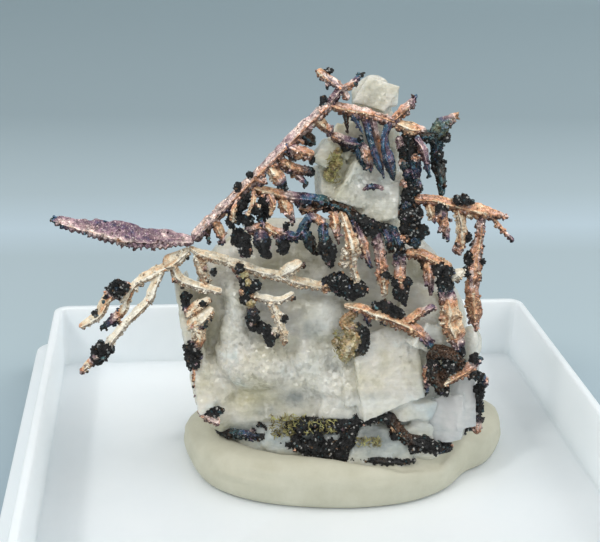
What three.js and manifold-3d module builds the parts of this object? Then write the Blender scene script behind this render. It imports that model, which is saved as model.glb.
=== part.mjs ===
// A native silver specimen on calcite, set in modelling putty in the white base of a mineral box.
// Units are millimetres, +Z is up, +X runs to the specimen's right and +Y to its back.
// The origin is the middle of the box base's underside.
import * as THREE from "three";
import { mergeVertices } from "three/addons/utils/BufferGeometryUtils.js";
import Module from "manifold-3d";

const wasm = await Module();
wasm.setup();

const GAP = 0.3; // clearance between two pieces that touch
const MERGE = 0.1; // how far a surface may move where slivers left by a cut are merged

// ---- The box base ----
const BOX = 60; // outer side of the base plate
const BOX_CORNER = 2.2; // its corner radius
const LEDGE_TOP = 2.44; // top of the ledge that carries the lid
const FLOOR_TOP = 1.2; // top of the floor inside
const RIM = 55.2; // outer side of the raised rim
const RIM_CORNER = 1.6;
const RIM_TOP = 8.24;
const RIM_WALL = 0.87;
const CUT_PAST = 1; // how far the hollow is cut past the rim's top

// ---- The drawing plane ----
// The specimen is drawn on a plane as it is seen from the front and a little above. A point is
// [x, y, behind]: x to the right and y down on the plane, and behind is how far the point lies
// behind the specimen's own leaning front. Sight lines spread from the eye, so a point's real
// place follows from where it is drawn and how deep it lies.
const EYE_DISTANCE = 109.7; // from the eye to the plane
const LOOK_DOWN = THREE.MathUtils.degToRad(22.14); // how far the sight line points down
const LOOK_ASIDE = THREE.MathUtils.degToRad(7.77); // how far it is turned about the upright
const LOOK_ROLL = THREE.MathUtils.degToRad(2.17);
const SIGHT_X = 30; // where the sight line meets the plane, in drawing coordinates
const SIGHT_Y = 27.1;
const PLANE_CENTRE = [-1.66, 10.62, 17.89 + FLOOR_TOP]; // the same point in the box
const SEAT_Y = 46; // drawn height of the specimen's seat
const SEAT_DEPTH = -6.3; // depth of the front there
const LEAN = THREE.MathUtils.degToRad(13.1); // angle between the front and the plane

// ---- The putty ----
const SPECIMEN_BOTTOM = 1.9; // how far the calcite stays above the floor

const depthAt = (y, behind) => SEAT_DEPTH - (SEAT_Y - y) * Math.tan(LEAN) + behind;
const spreadAt = (y, behind) => 1 + depthAt(y, behind) / EYE_DISTANCE;

function place([x, y, behind]) {
  const spread = spreadAt(y, behind);
  return new THREE.Vector3((x - SIGHT_X) * spread, depthAt(y, behind), (SIGHT_Y - y) * spread);
}

const specimen = new THREE.Group();
specimen.position.set(...PLANE_CENTRE);
specimen.rotation.set(-LOOK_DOWN, -LOOK_ROLL, -LOOK_ASIDE, "ZXY");
specimen.updateMatrixWorld(true);

// ---- Solids ----
function solidOf(geometry) {
  const bare = new THREE.BufferGeometry();
  bare.setAttribute("position", geometry.getAttribute("position").clone());
  if (geometry.index) bare.setIndex(geometry.index.clone());
  const merged = mergeVertices(bare, 1e-4);
  return new wasm.Manifold(new wasm.Mesh({
    numProp: 3,
    vertProperties: new Float32Array(merged.getAttribute("position").array),
    triVerts: new Uint32Array(merged.index.array),
  }));
}

function geometryOf(solid) {
  const { vertProperties, triVerts } = solid.getMesh();
  const geometry = new THREE.BufferGeometry();
  geometry.setAttribute("position", new THREE.BufferAttribute(new Float32Array(vertProperties), 3));
  geometry.setIndex(new THREE.BufferAttribute(new Uint32Array(triVerts), 1));
  return geometry;
}

const joined = (solids) => solids.reduce((whole, solid) => whole.add(solid));
const moved = (solid, matrix) => solidOf(geometryOf(solid).applyMatrix4(matrix));

// The largest body of a solid, without the crumbs and slivers that a cut can leave.
function mainBody(solid) {
  const bodies = solid.decompose();
  return bodies.reduce((best, body) => (body.volume() > best.volume() ? body : best)).simplify(MERGE);
}

// A closed skin over rings of points that all run the same way round.
function skin(rings) {
  const count = rings[0].length;
  const positions = rings.flat().flatMap((point) => [point.x, point.y, point.z]);
  const faces = [];
  for (let ring = 0; ring < rings.length - 1; ring += 1) {
    for (let k = 0; k < count; k += 1) {
      const a = ring * count + k;
      const b = ring * count + (k + 1) % count;
      faces.push(a, b, b + count, a, b + count, a + count);
    }
  }
  const last = (rings.length - 1) * count;
  for (let k = 1; k < count - 1; k += 1) {
    faces.push(0, k + 1, k, last, last + k, last + k + 1);
  }
  const geometry = new THREE.BufferGeometry();
  geometry.setAttribute("position", new THREE.Float32BufferAttribute(positions, 3));
  geometry.setIndex(faces);
  return geometry;
}

// ---- Silver ----
// A crystal arm's section, across and out towards the viewer, as parts of its width.
const ARM_SECTION = [[0.5, 0], [0.05, 0.44], [-0.5, 0], [-0.05, -0.4]];

// An arm, blade or tooth: drawn points, drawn widths (one for each point, or the first and last)
// and how thick it is for its width. Behind carries on from the point before where it isn't given.
function arm(points, widths, thick = 0.9) {
  return (grow) => {
    const drawn = [];
    for (const [x, y, behind] of points) drawn.push([x, y, behind ?? drawn.at(-1)[2]]);
    const line = drawn.map(place);
    const steps = line.length - 1;
    const tangents = line.map((_, i) => line[Math.min(i + 1, steps)].clone()
      .sub(line[Math.max(i - 1, 0)]).normalize());
    line[0].addScaledVector(tangents[0], -grow);
    line[steps].addScaledVector(tangents[steps], grow);
    const rings = line.map((centre, i) => {
      const [, y, behind] = drawn[i];
      const drawnWidth = widths.length === line.length
        ? widths[i] : THREE.MathUtils.lerp(widths[0], widths.at(-1), i / steps);
      const width = drawnWidth * spreadAt(y, behind) + 2 * grow;
      const depth = drawnWidth * spreadAt(y, behind) * thick + 2 * grow;
      const across = new THREE.Vector3(0, -1, 0).cross(tangents[i]).normalize();
      const out = tangents[i].clone().cross(across);
      return ARM_SECTION.map(([s, o]) => centre.clone()
        .addScaledVector(across, s * width).addScaledVector(out, o * depth));
    });
    return skin(rings);
  };
}

const SMALL_LUMP = 0.6; // below this radius a lump has eight faces, and above it twenty

// A lump of crust: drawn place and radius.
function lump(x, y, behind, radius) {
  return (grow) => {
    const size = radius * spreadAt(y, behind) + grow;
    const centre = place([x, y, behind]);
    const Form = radius < SMALL_LUMP ? THREE.OctahedronGeometry : THREE.IcosahedronGeometry;
    return new Form(size, 0)
      .rotateX(x).rotateY(y)
      .translate(centre.x, centre.y, centre.z);
  };
}

const lumps = (...list) => list.map(([x, y, behind, radius]) => lump(x, y, behind, radius));

// Each entry is one crystal branch from its fork outwards, in the order in which they are cut.
const SILVER = {
  silver_trunk: [
    arm([[19.3, 24.0, 1.6], [20.4, 22.7, 1.5], [25.4, 17.8, 1.1], [30.4, 12.8, 0.8], [33.0, 10.3, 0.7]],
      [0.8, 1.15, 1.25, 1.25, 1.1]),
    arm([[20.7, 22.6, 1.5], [20.9, 24.5, 1.2]], [0.8, 0.15]),
    arm([[21.4, 22.0, 1.4], [22.1, 23.4, 1.0], [22.3, 24.6, 0.9]], [1.0, 0.95, 0.15]),
    arm([[25.6, 17.8, 1.1], [26.6, 18.3, 0.6]], [1.2, 0.9]),
    arm([[27.0, 16.6, 1.1], [27.8, 17.8, 0.7], [28.4, 18.7, 0.6]], [1.3, 1.3, 0.7]),
    arm([[27.8, 15.9, 1.1], [29.4, 16.8, 0.8], [31.4, 17.3, 1.6]], [0.9, 0.95, 0.85]),
    arm([[28.0, 16.4, 1.3], [29.6, 17.4, 1.2], [30.8, 18.5, 1.4]], [0.8, 0.7, 0.4]),
    arm([[28.6, 14.4, 1.0], [29.9, 15.1, 0.4], [31.4, 15.4, 0.8]], [1.2, 1.3, 1.1]),
    arm([[30.0, 13.2, 0.9], [31.4, 14.3, 1.6]], [1.3, 1.1]),
    arm([[31.4, 11.8, 0.8], [32.3, 12.5, 1.0], [33.3, 13.2, 1.6]], [1.1, 1.1, 0.9]),
    ...lumps([23.8, 18.7, 1.2, 0.5], [25.0, 17.5, 1.1, 0.42], [32.4, 10.1, 0.9, 0.45]),
  ],
  silver_blade: [
    arm([[19.4, 24.1, 1.6], [18.0, 23.9, 1.5], [16.5, 23.9, 1.3], [14.5, 23.8, 1.0], [12.5, 23.5, 0.8],
      [10.0, 23.0, 0.8], [7.5, 22.5, 1.0], [6.0, 22.1, 1.2], [5.0, 21.9, 1.3]],
    [0.9, 1.3, 1.8, 2.0, 2.4, 2.0, 1.5, 1.0, 0.2], 0.5),
  ],
  silver_crown: [
    arm([[32.7, 10.8, 0.8], [34.1, 8.7, 0.7]], [1.0, 0.9]),
    arm([[34.2, 8.8, 0.7], [35.1, 8.4, 0.9], [36.2, 7.3, 1.2]], [0.7, 0.7, 0.4]),
    arm([[34.3, 8.9, 0.7], [33.5, 8.3, 0.5], [32.6, 7.7, 0.3], [31.7, 7.0, 0.3]], [0.8, 0.9, 1.0, 0.8]),
    arm([[34.1, 8.7, 0.8], [34.8, 10.0, 0.9]], [0.9, 0.7]),
    ...lumps([32.8, 7.1, 0.6, 0.5]),
  ],
  silver_top_arm: [
    arm([[33.2, 10.5, 0.9], [34.6, 10.9, 0.9], [36.0, 11.2, 1.0], [37.5, 11.5, 1.2], [39.0, 12.0, 1.4],
      [40.0, 12.3, 1.5]], [0.9, 1.0, 1.0, 1.0, 1.0, 0.9]),
    arm([[39.2, 12.1, 1.4], [40.6, 10.8, 1.2], [41.7, 9.4, 1.2]], [0.8, 1.2, 0.2], 0.7),
    arm([[39.6, 12.2, 1.4], [41.2, 12.9, 1.0], [42.6, 12.9, 1.2]], [1.1, 1.3, 0.7]),
    arm([[34.5, 10.9, 1.0], [34.8, 13.4, 0.9]], [0.9, 0.15]),
    arm([[35.2, 11.2, 1.0], [36.3, 13.4, 0.6]], [0.7, 0.15]),
    arm([[36.5, 11.6, 1.1], [37.2, 14.4, 0.8], [37.8, 16.3, 0.6], [38.2, 17.4, 0.6]], [0.8, 0.7, 0.7, 0.2]),
    arm([[37.2, 11.6, 1.2], [37.8, 14.6, 1.3], [38.4, 17.9, 1.0]], [0.8, 0.7, 0.2]),
    arm([[38.9, 12.2, 1.4], [38.5, 14.0, 0.8], [39.0, 16.2, 0.6], [39.4, 18.1, 0.7]],
      [0.9, 0.9, 1.3, 0.25]),
  ],
  silver_inner_arm: [
    arm([[33.1, 13.5, 1.6], [34.8, 14.2, 1.9], [36.4, 14.4, 2.0]], [0.9, 1.1, 0.9]),
    arm([[36.2, 14.3, 2.0], [36.8, 15.6, 1.6], [37.1, 17.3, 1.5]], [0.9, 1.0, 0.2]),
    arm([[35.7, 14.5, 2.0], [36.1, 15.8, 1.7], [36.7, 17.1, 1.6]], [0.6, 0.7, 0.3]),
  ],
  silver_middle_arm: [
    arm([[24.8, 18.6, 1.2], [27.5, 19.3, 1.2], [29.0, 19.7, 1.2], [31.0, 19.9, 1.4], [33.0, 20.2, 1.5]],
      [0.9, 1.0, 1.0, 1.2, 1.0]),
    arm([[28.2, 19.8, 1.2], [28.8, 21.0, 1.0], [29.5, 22.3, 0.9]], [1.3, 1.2, 0.2]),
    arm([[25.2, 18.9, 1.2], [24.0, 20.2, 1.2], [23.3, 21.6, 1.1], [22.9, 22.6, 1.1]], [1.2, 1.5, 1.4, 0.8]),
    arm([[26.3, 19.2, 1.2], [26.6, 20.6, 1.4], [26.8, 21.8, 1.5]], [1.2, 1.4, 0.9]),
    arm([[32.6, 20.4, 1.6], [31.0, 20.9, 1.9], [29.9, 20.8, 1.9]], [0.8, 0.8, 0.5]),
    ...lumps([24.2, 20.5, 0.9, 0.85], [25.6, 20.9, 0.8, 1.0], [24.8, 22.0, 1.0, 0.8],
      [23.0, 20.6, 1.3, 0.55]),
  ],
  silver_left_fringe: [
    arm([[24.6, 22.9, 1.0], [26.4, 22.6, 0.9], [27.3, 23.1, 0.9], [28.5, 23.3, 1.0], [29.6, 23.6, 1.1],
      [30.3, 22.9, 1.0], [30.9, 21.9, 0.9], [31.7, 21.9, 1.0], [32.5, 22.3, 1.1]],
    [0.9, 0.9, 0.9, 0.9, 0.9, 0.9, 0.9, 0.8, 0.8]),
    arm([[23.6, 22.9, 1.0], [24.3, 24.3, 0.6], [24.9, 25.7, 0.4]], [1.4, 1.7, 0.5]),
    arm([[26.0, 22.8, 0.9], [26.3, 24.4, 0.5], [26.9, 25.8, 0.4]], [1.4, 1.6, 0.4]),
    arm([[27.9, 23.3, 1.0], [28.3, 24.6, 0.8], [28.5, 25.4, 0.8]], [0.9, 1.1, 0.5]),
    arm([[28.4, 23.4, 1.0], [28.7, 22.2, 1.2]], [0.6, 0.4]),
    arm([[30.2, 23.1, 1.0], [31.0, 24.2, 0.8], [31.4, 25.5, 0.9]], [1.1, 1.2, 0.2]),
    arm([[32.3, 22.2, 1.1], [32.4, 23.6, 0.7], [32.8, 25.1, 0.5], [33.1, 26.4, 0.7]], [0.9, 1.1, 1.7, 0.8]),
  ],
  silver_right_fringe: [
    arm([[33.0, 20.3, 1.6], [34.5, 20.9, 1.7], [35.3, 21.6, 1.7], [36.6, 22.3, 1.7], [38.2, 22.8, 1.8],
      [39.8, 23.2, 1.9]], [0.9, 1.1, 1.1, 1.1, 1.0, 0.8]),
    arm([[33.2, 20.5, 1.6], [33.6, 22.8, 1.2], [33.9, 24.5, 1.2]], [0.8, 0.85, 0.15]),
    arm([[34.1, 21.0, 1.6], [34.8, 22.8, 1.1], [35.2, 24.6, 0.7], [35.3, 26.6, 0.8], [35.8, 28.3, 1.0]],
      [0.9, 0.9, 1.4, 0.8, 0.6]),
    arm([[35.3, 21.6, 1.6], [35.9, 23.3, 1.3], [36.5, 25.0, 1.2], [37.1, 26.9, 1.2]], [0.8, 0.95, 0.9, 0.2]),
    arm([[37.6, 22.7, 1.7], [38.0, 25.2, 1.3], [38.3, 27.6, 1.2], [38.5, 29.6, 1.3]], [0.9, 1.0, 1.2, 0.6]),
    arm([[38.4, 22.8, 1.8], [38.9, 24.0, 1.4], [39.3, 25.3, 1.4]], [0.9, 0.9, 0.4]),
    arm([[39.2, 23.0, 1.9], [39.8, 24.0, 1.5], [40.2, 25.3, 1.5]], [0.9, 0.9, 0.9]),
    arm([[40.0, 25.0, 1.5], [40.0, 27.4, 1.2], [40.1, 30.1, 1.2]], [1.2, 1.2, 1.0]),
    ...lumps([37.2, 22.8, 1.3, 0.9], [34.6, 25.6, 0.9, 0.65], [40.1, 28.7, 1.2, 1.0]),
  ],
  silver_column: [
    arm([[40.7, 13.1, 1.9], [40.9, 15.2, 2.0], [41.2, 17.4, 2.1], [41.1, 19.3, 2.2], [41.0, 21.2, 2.2],
      [41.3, 23.2, 2.1], [41.2, 24.6, 2.0]], [1.3, 1.8, 1.6, 1.5, 1.9, 1.9, 1.1]),
    arm([[41.3, 13.6, 2.0], [42.3, 14.9, 1.8], [43.0, 17.8, 1.6]], [0.8, 0.9, 0.2]),
    ...lumps([40.2, 15.0, 1.6, 0.6], [40.9, 21.4, 1.7, 0.95], [41.9, 23.1, 1.7, 0.85],
      [41.3, 18.9, 1.8, 0.8]),
  ],
  silver_feather: [
    arm([[42.0, 13.7, 2.4], [43.4, 13.8, 2.9], [43.6, 15.2, 3.1], [43.8, 16.6, 3.2]], [0.9, 1.5, 1.4, 1.3]),
    arm([[43.2, 13.9, 2.9], [44.2, 12.7, 2.8], [45.9, 11.3, 2.9]], [1.4, 1.5, 0.2], 0.6),
    arm([[43.8, 16.2, 3.2], [44.1, 17.9, 3.0], [44.2, 19.6, 2.8]], [1.4, 1.1, 0.6]),
    ...lumps([44.5, 13.7, 3.0, 0.55]),
  ],
  silver_right_arm: [
    arm([[41.2, 19.9, 1.9], [43.5, 20.0, 2.0], [45.0, 20.4, 2.2], [47.5, 21.0, 2.5], [49.0, 21.3, 2.7],
      [50.9, 21.7, 3.0]], [1.0, 1.1, 1.3, 1.6, 1.2, 0.25]),
    arm([[42.9, 20.3, 2.0], [43.2, 21.5, 1.7], [43.5, 22.4, 1.6]], [0.8, 0.85, 0.15]),
    arm([[44.0, 20.3, 2.1], [44.3, 22.0, 1.6], [44.9, 24.2, 1.5]], [1.4, 1.5, 0.2]),
    arm([[45.8, 20.8, 2.3], [46.1, 22.3, 2.1], [46.1, 24.0, 2.0], [45.6, 25.4, 2.1]], [1.0, 1.0, 1.2, 0.9]),
    arm([[48.2, 21.4, 2.6], [48.0, 23.5, 2.5], [47.5, 25.8, 2.3], [47.3, 28.5, 2.2], [47.4, 31.2, 2.3],
      [47.7, 33.0, 2.4]], [0.8, 1.0, 1.3, 1.4, 1.4, 0.4]),
    arm([[49.0, 21.4, 2.7], [50.2, 22.9, 2.9], [51.4, 24.1, 3.2]], [0.5, 0.45, 0.3]),
    ...lumps([46.3, 20.1, 2.1, 0.55], [46.8, 23.8, 2.1, 0.45], [46.9, 26.4, 2.3, 0.6]),
  ],
  silver_lower_arm: [
    arm([[40.4, 25.4, 1.9], [41.8, 25.3, 1.8], [43.2, 25.9, 1.7], [45.2, 26.9, 1.7]], [0.9, 1.1, 1.1, 0.9]),
    arm([[42.0, 25.6, 1.8], [42.5, 27.2, 1.6]], [0.8, 0.3]),
    arm([[42.8, 26.0, 1.7], [42.9, 27.8, 1.4], [43.2, 29.4, 1.3]], [0.8, 1.1, 0.2]),
    arm([[44.5, 26.6, 1.7], [44.5, 28.4, 1.5], [44.9, 30.4, 1.3], [45.0, 32.0, 1.2], [45.6, 33.6, 1.2],
      [46.2, 35.6, 1.3]], [1.9, 1.7, 1.8, 2.3, 1.7, 0.8]),
    arm([[45.0, 27.9, 1.6], [45.8, 27.4, 1.8], [46.5, 26.9, 2.1]], [0.8, 1.1, 0.2]),
  ],
  silver_spine: [
    arm([[18.9, 24.7, 1.9], [20.0, 25.3, 1.8], [22.0, 25.9, 1.7], [24.0, 26.5, 1.6], [26.0, 27.1, 1.5],
      [27.8, 27.5, 1.4], [30.0, 28.2, 1.4], [32.5, 28.7, 1.5]], [0.5, 0.8, 0.9, 0.9, 0.9, 0.9, 1.0, 0.9]),
    arm([[27.9, 27.6, 1.4], [29.0, 26.9, 1.0], [30.2, 26.2, 0.9]], [0.8, 1.4, 1.0]),
    arm([[19.0, 24.9, 1.9], [17.5, 26.0, 1.7], [16.4, 26.7, 1.6]], [0.6, 1.3, 1.1]),
    arm([[17.2, 26.4, 1.7], [17.8, 27.6, 2.0], [18.6, 28.2, 2.1], [20.2, 28.7, 2.0], [22.2, 29.2, 1.7]],
      [0.9, 1.0, 0.9, 0.9, 0.7]),
    arm([[19.6, 25.3, 1.9], [20.3, 27.0, 2.2], [20.7, 28.6, 2.2]], [0.8, 1.2, 0.9]),
    arm([[23.7, 26.6, 1.6], [24.4, 28.0, 1.4], [24.9, 29.8, 1.2]], [1.0, 1.2, 1.2]),
    arm([[24.9, 29.4, 1.2], [26.4, 29.8, 1.1], [28.0, 30.0, 1.0], [29.4, 29.3, 1.0]], [0.8, 0.9, 0.8, 0.6]),
    arm([[27.2, 30.0, 1.0], [27.5, 31.4, 0.9], [28.3, 33.1, 0.8]], [0.8, 0.8, 0.6]),
    arm([[32.2, 28.7, 1.5], [33.6, 28.3, 1.3], [35.4, 28.9, 1.3], [35.9, 29.6, 1.3]], [1.2, 1.7, 1.9, 1.2]),
    ...lumps([25.4, 28.6, 1.0, 0.9], [33.6, 28.4, 1.1, 0.85], [35.7, 28.7, 1.3, 0.95]),
  ],
  silver_fingers: [
    arm([[16.9, 26.5, 1.7], [15.0, 27.5, 1.5], [13.5, 28.4, 1.4], [12.7, 29.7, 1.3], [12.4, 30.9, 1.2],
      [11.2, 32.0, 1.1], [10.0, 32.9, 1.1]], [0.9, 1.0, 0.8, 0.9, 0.9, 0.9, 0.3]),
    arm([[13.2, 28.6, 1.4], [11.8, 28.9, 1.2], [10.9, 29.7, 1.0], [9.9, 31.3, 0.9], [8.8, 32.2, 0.9],
      [7.9, 32.7, 1.0]], [0.8, 1.4, 1.2, 1.1, 0.8, 0.3]),
    arm([[16.2, 26.9, 1.6], [15.4, 28.6, 1.2], [14.8, 30.0, 0.9], [13.0, 31.8, 0.6], [11.5, 33.5, 0.4],
      [10.4, 35.0, 0.3]], [0.9, 0.9, 0.9, 0.9, 0.9, 0.9]),
    arm([[10.6, 34.8, 0.3], [9.6, 35.8, 0.2], [8.7, 36.5, 0.2], [8.0, 37.4, 0.2]], [1.2, 1.3, 0.8, 0.25]),
    ...lumps([11.5, 28.8, 1.1, 1.0], [10.1, 35.1, 0.2, 1.1], [9.7, 31.4, 0.9, 0.5]),
  ],
  silver_edge_cluster: [
    arm([[21.3, 29.4, 1.9], [20.0, 30.6, 2.0], [18.9, 31.6, 2.2]], [0.8, 0.9, 0.9]),
    arm([[21.4, 30.9, 1.7], [20.2, 31.9, 1.9], [18.9, 32.7, 2.2]], [1.0, 1.6, 1.0]),
    arm([[19.0, 31.5, 2.2], [18.6, 30.5, 2.4], [18.6, 29.2, 2.6]], [0.8, 0.8, 0.9]),
    arm([[19.6, 32.2, 2.0], [20.0, 34.0, 1.9], [19.6, 35.4, 2.1], [19.4, 36.8, 2.4]], [1.3, 1.6, 1.5, 1.2]),
    arm([[19.5, 36.6, 2.4], [19.6, 38.4, 2.8], [20.1, 40.6, 3.0]], [0.6, 0.4, 0.35]),
  ],
  silver_centre_lumps: [
    arm([[25.3, 30.6, 1.0], [25.3, 32.4, 1.0], [26.6, 33.0, 1.0], [27.3, 34.2, 0.9]], [1.1, 1.1, 1.1, 1.2]),
    arm([[26.8, 33.0, 1.0], [28.0, 33.2, 1.0], [28.6, 34.2, 1.0]], [0.7, 0.7, 0.4]),
    ...lumps([25.2, 31.9, 0.9, 0.6], [27.0, 33.7, 0.8, 0.75]),
  ],
  silver_cross_arm: [
    arm([[34.4, 30.5, 1.2], [36.0, 30.8, 0.9], [37.6, 31.4, 0.9], [39.2, 31.9, 1.0], [40.7, 32.5, 1.0],
      [42.2, 33.4, 0.9], [43.2, 34.8, 0.8]], [0.5, 1.1, 1.1, 1.2, 1.2, 1.0, 0.8]),
    arm([[40.6, 32.3, 1.0], [41.9, 31.3, 0.9], [43.5, 30.6, 0.9]], [0.9, 1.0, 0.6]),
    arm([[36.4, 30.9, 1.0], [37.0, 32.3, 1.1]], [0.9, 0.5]),
    arm([[38.0, 31.6, 1.0], [38.6, 32.6, 1.0]], [0.8, 0.3]),
    ...lumps([38.0, 30.9, 1.0, 0.55], [39.6, 31.3, 1.0, 0.6]),
  ],
  silver_fern: [
    arm([[35.6, 31.2, 1.3], [34.4, 32.2, 1.1], [35.3, 33.3, 0.8], [34.6, 34.9, 0.7], [34.2, 36.1, 0.9]],
      [0.8, 1.0, 1.6, 1.8, 0.7]),
    arm([[34.6, 32.6, 1.0], [36.2, 33.2, 0.9], [36.0, 34.6, 0.9], [35.2, 35.6, 0.9]], [0.9, 1.4, 1.5, 0.7]),
    ...lumps([33.7, 34.3, 0.9, 0.7]),
  ],
  silver_tangle: [
    arm([[43.0, 34.9, 0.8], [44.2, 35.3, 0.6], [45.4, 35.9, 0.8], [46.2, 36.8, 0.9]], [0.9, 1.5, 1.5, 1.0]),
    arm([[43.2, 35.0, 0.8], [43.3, 36.7, 0.6], [44.0, 38.2, 0.5], [44.6, 39.4, 0.7]], [1.3, 1.5, 1.7, 1.1]),
    arm([[43.6, 38.8, 0.6], [45.2, 37.9, 0.5], [46.8, 36.9, 0.7], [48.2, 35.7, 1.1]], [0.9, 0.9, 1.0, 0.5]),
    arm([[42.8, 36.4, 0.8], [42.5, 37.4, 1.0], [42.8, 39.4, 1.2]], [0.6, 0.5, 0.3]),
    ...lumps([44.7, 36.8, 0.6, 0.9]),
  ],
  silver_right_edge: [
    arm([[46.9, 37.4, 1.6], [47.9, 37.6, 2.2], [48.6, 37.9, 2.6]], [0.6, 0.8, 0.8]),
    arm([[48.6, 37.7, 2.6], [47.9, 38.9, 2.8], [47.7, 40.6, 3.0], [47.6, 42.2, 3.0], [47.7, 43.4, 3.0]],
      [0.8, 1.1, 1.2, 1.1, 0.8]),
    arm([[47.4, 41.3, 3.0], [46.9, 42.3, 2.9], [46.3, 43.5, 2.8]], [0.8, 0.8, 0.2]),
  ],
  base_crust: [
    arm([[19.8, 41.0, 4.4], [20.7, 41.8, 3.8], [22.0, 42.2, 3.3]], [0.5, 0.6, 0.8]),
    arm([[21.5, 42.6, 3.4], [23.2, 43.1, 2.9], [25.4, 43.4, 2.4], [28.0, 44.0, 1.7], [31.0, 44.7, 0.9],
      [34.5, 45.2, 0.3]], [0.9, 1.3, 1.0, 1.2, 1.5, 1.4]),
    arm([[25.0, 43.2, 2.4], [25.9, 42.1, 2.5], [26.8, 43.0, 2.2]], [0.6, 0.8, 0.6]),
    arm([[28.6, 43.8, 1.6], [29.5, 42.4, 1.6], [31.6, 42.3, 1.4], [34.6, 42.3, 1.3], [36.6, 41.8, 1.2],
      [38.6, 41.8, 1.1], [39.8, 43.0, 0.9], [41.0, 44.0, 0.7], [43.2, 44.5, 0.8], [45.2, 44.6, 1.3]],
    [1.5, 1.9, 1.8, 1.8, 1.1, 1.0, 1.2, 1.2, 1.5, 0.9]),
    arm([[35.2, 42.4, 1.2], [34.8, 43.8, 0.6], [34.0, 45.2, 0.3]], [1.7, 1.7, 1.3]),
    ...lumps([21.5, 41.3, 3.6, 0.7], [31.8, 43.8, 0.8, 1.1], [41.4, 44.8, 0.6, 0.7]),
  ],
};

// ---- Calcite ----
// A crystal mass as drawn levels from the top down: y, left, right, front and back.
const CALCITE_SIDES = 8;
const CALCITE_SQUARENESS = 0.62; // 1 is an ellipse, 0 a rectangle

function mass(levels) {
  return (grow) => {
    const ends = levels.length - 1;
    const rings = levels.map(([y, left, right, front, back], level) => {
      const drawnY = y + (level === ends ? grow : 0) - (level === 0 ? grow : 0);
      return Array.from({ length: CALCITE_SIDES }, (_, k) => {
        const turn = (2 * Math.PI * (k + 0.5)) / CALCITE_SIDES;
        const bend = (value) => Math.sign(value) * Math.abs(value) ** CALCITE_SQUARENESS;
        const x = (left + right) / 2 + ((right - left) / 2 + grow) * bend(Math.cos(turn));
        const behind = (front + back) / 2 + ((back - front) / 2 + grow) * bend(Math.sin(turn));
        return place([x, drawnY, behind]);
      });
    });
    return skin(rings.map((ring) => ring.reverse()));
  };
}

// One cleavage rhomb of calcite: drawn centre, size across, in depth and upward, and turn.
const RHOMB_LEAN = 0.26; // how far a rhomb's top is pushed aside, for its height

function rhomb(x, y, behind, size, turn) {
  return (grow) => {
    const centre = place([x, y, behind]);
    const [across, deep, high] = size.map((side) => side * spreadAt(y, behind) + 2 * grow);
    return new THREE.BoxGeometry(across, deep, high)
      .applyMatrix4(new THREE.Matrix4().makeShear(0, 0, 0, 0, RHOMB_LEAN, RHOMB_LEAN / 2))
      .applyMatrix4(new THREE.Matrix4().makeRotationFromEuler(new THREE.Euler(...turn)))
      .translate(centre.x, centre.y, centre.z);
  };
}

// A rounded, milky lobe of calcite: drawn centre, size across, in depth and upward, and turn.
function lobe(x, y, behind, size, turn = [0, 0, 0]) {
  return (grow) => {
    const centre = place([x, y, behind]);
    return new THREE.IcosahedronGeometry(1, 0)
      .scale(...size.map((side) => side / 2 * spreadAt(y, behind) + grow))
      .applyMatrix4(new THREE.Matrix4().makeRotationFromEuler(new THREE.Euler(...turn)))
      .translate(centre.x, centre.y, centre.z);
  };
}

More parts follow.
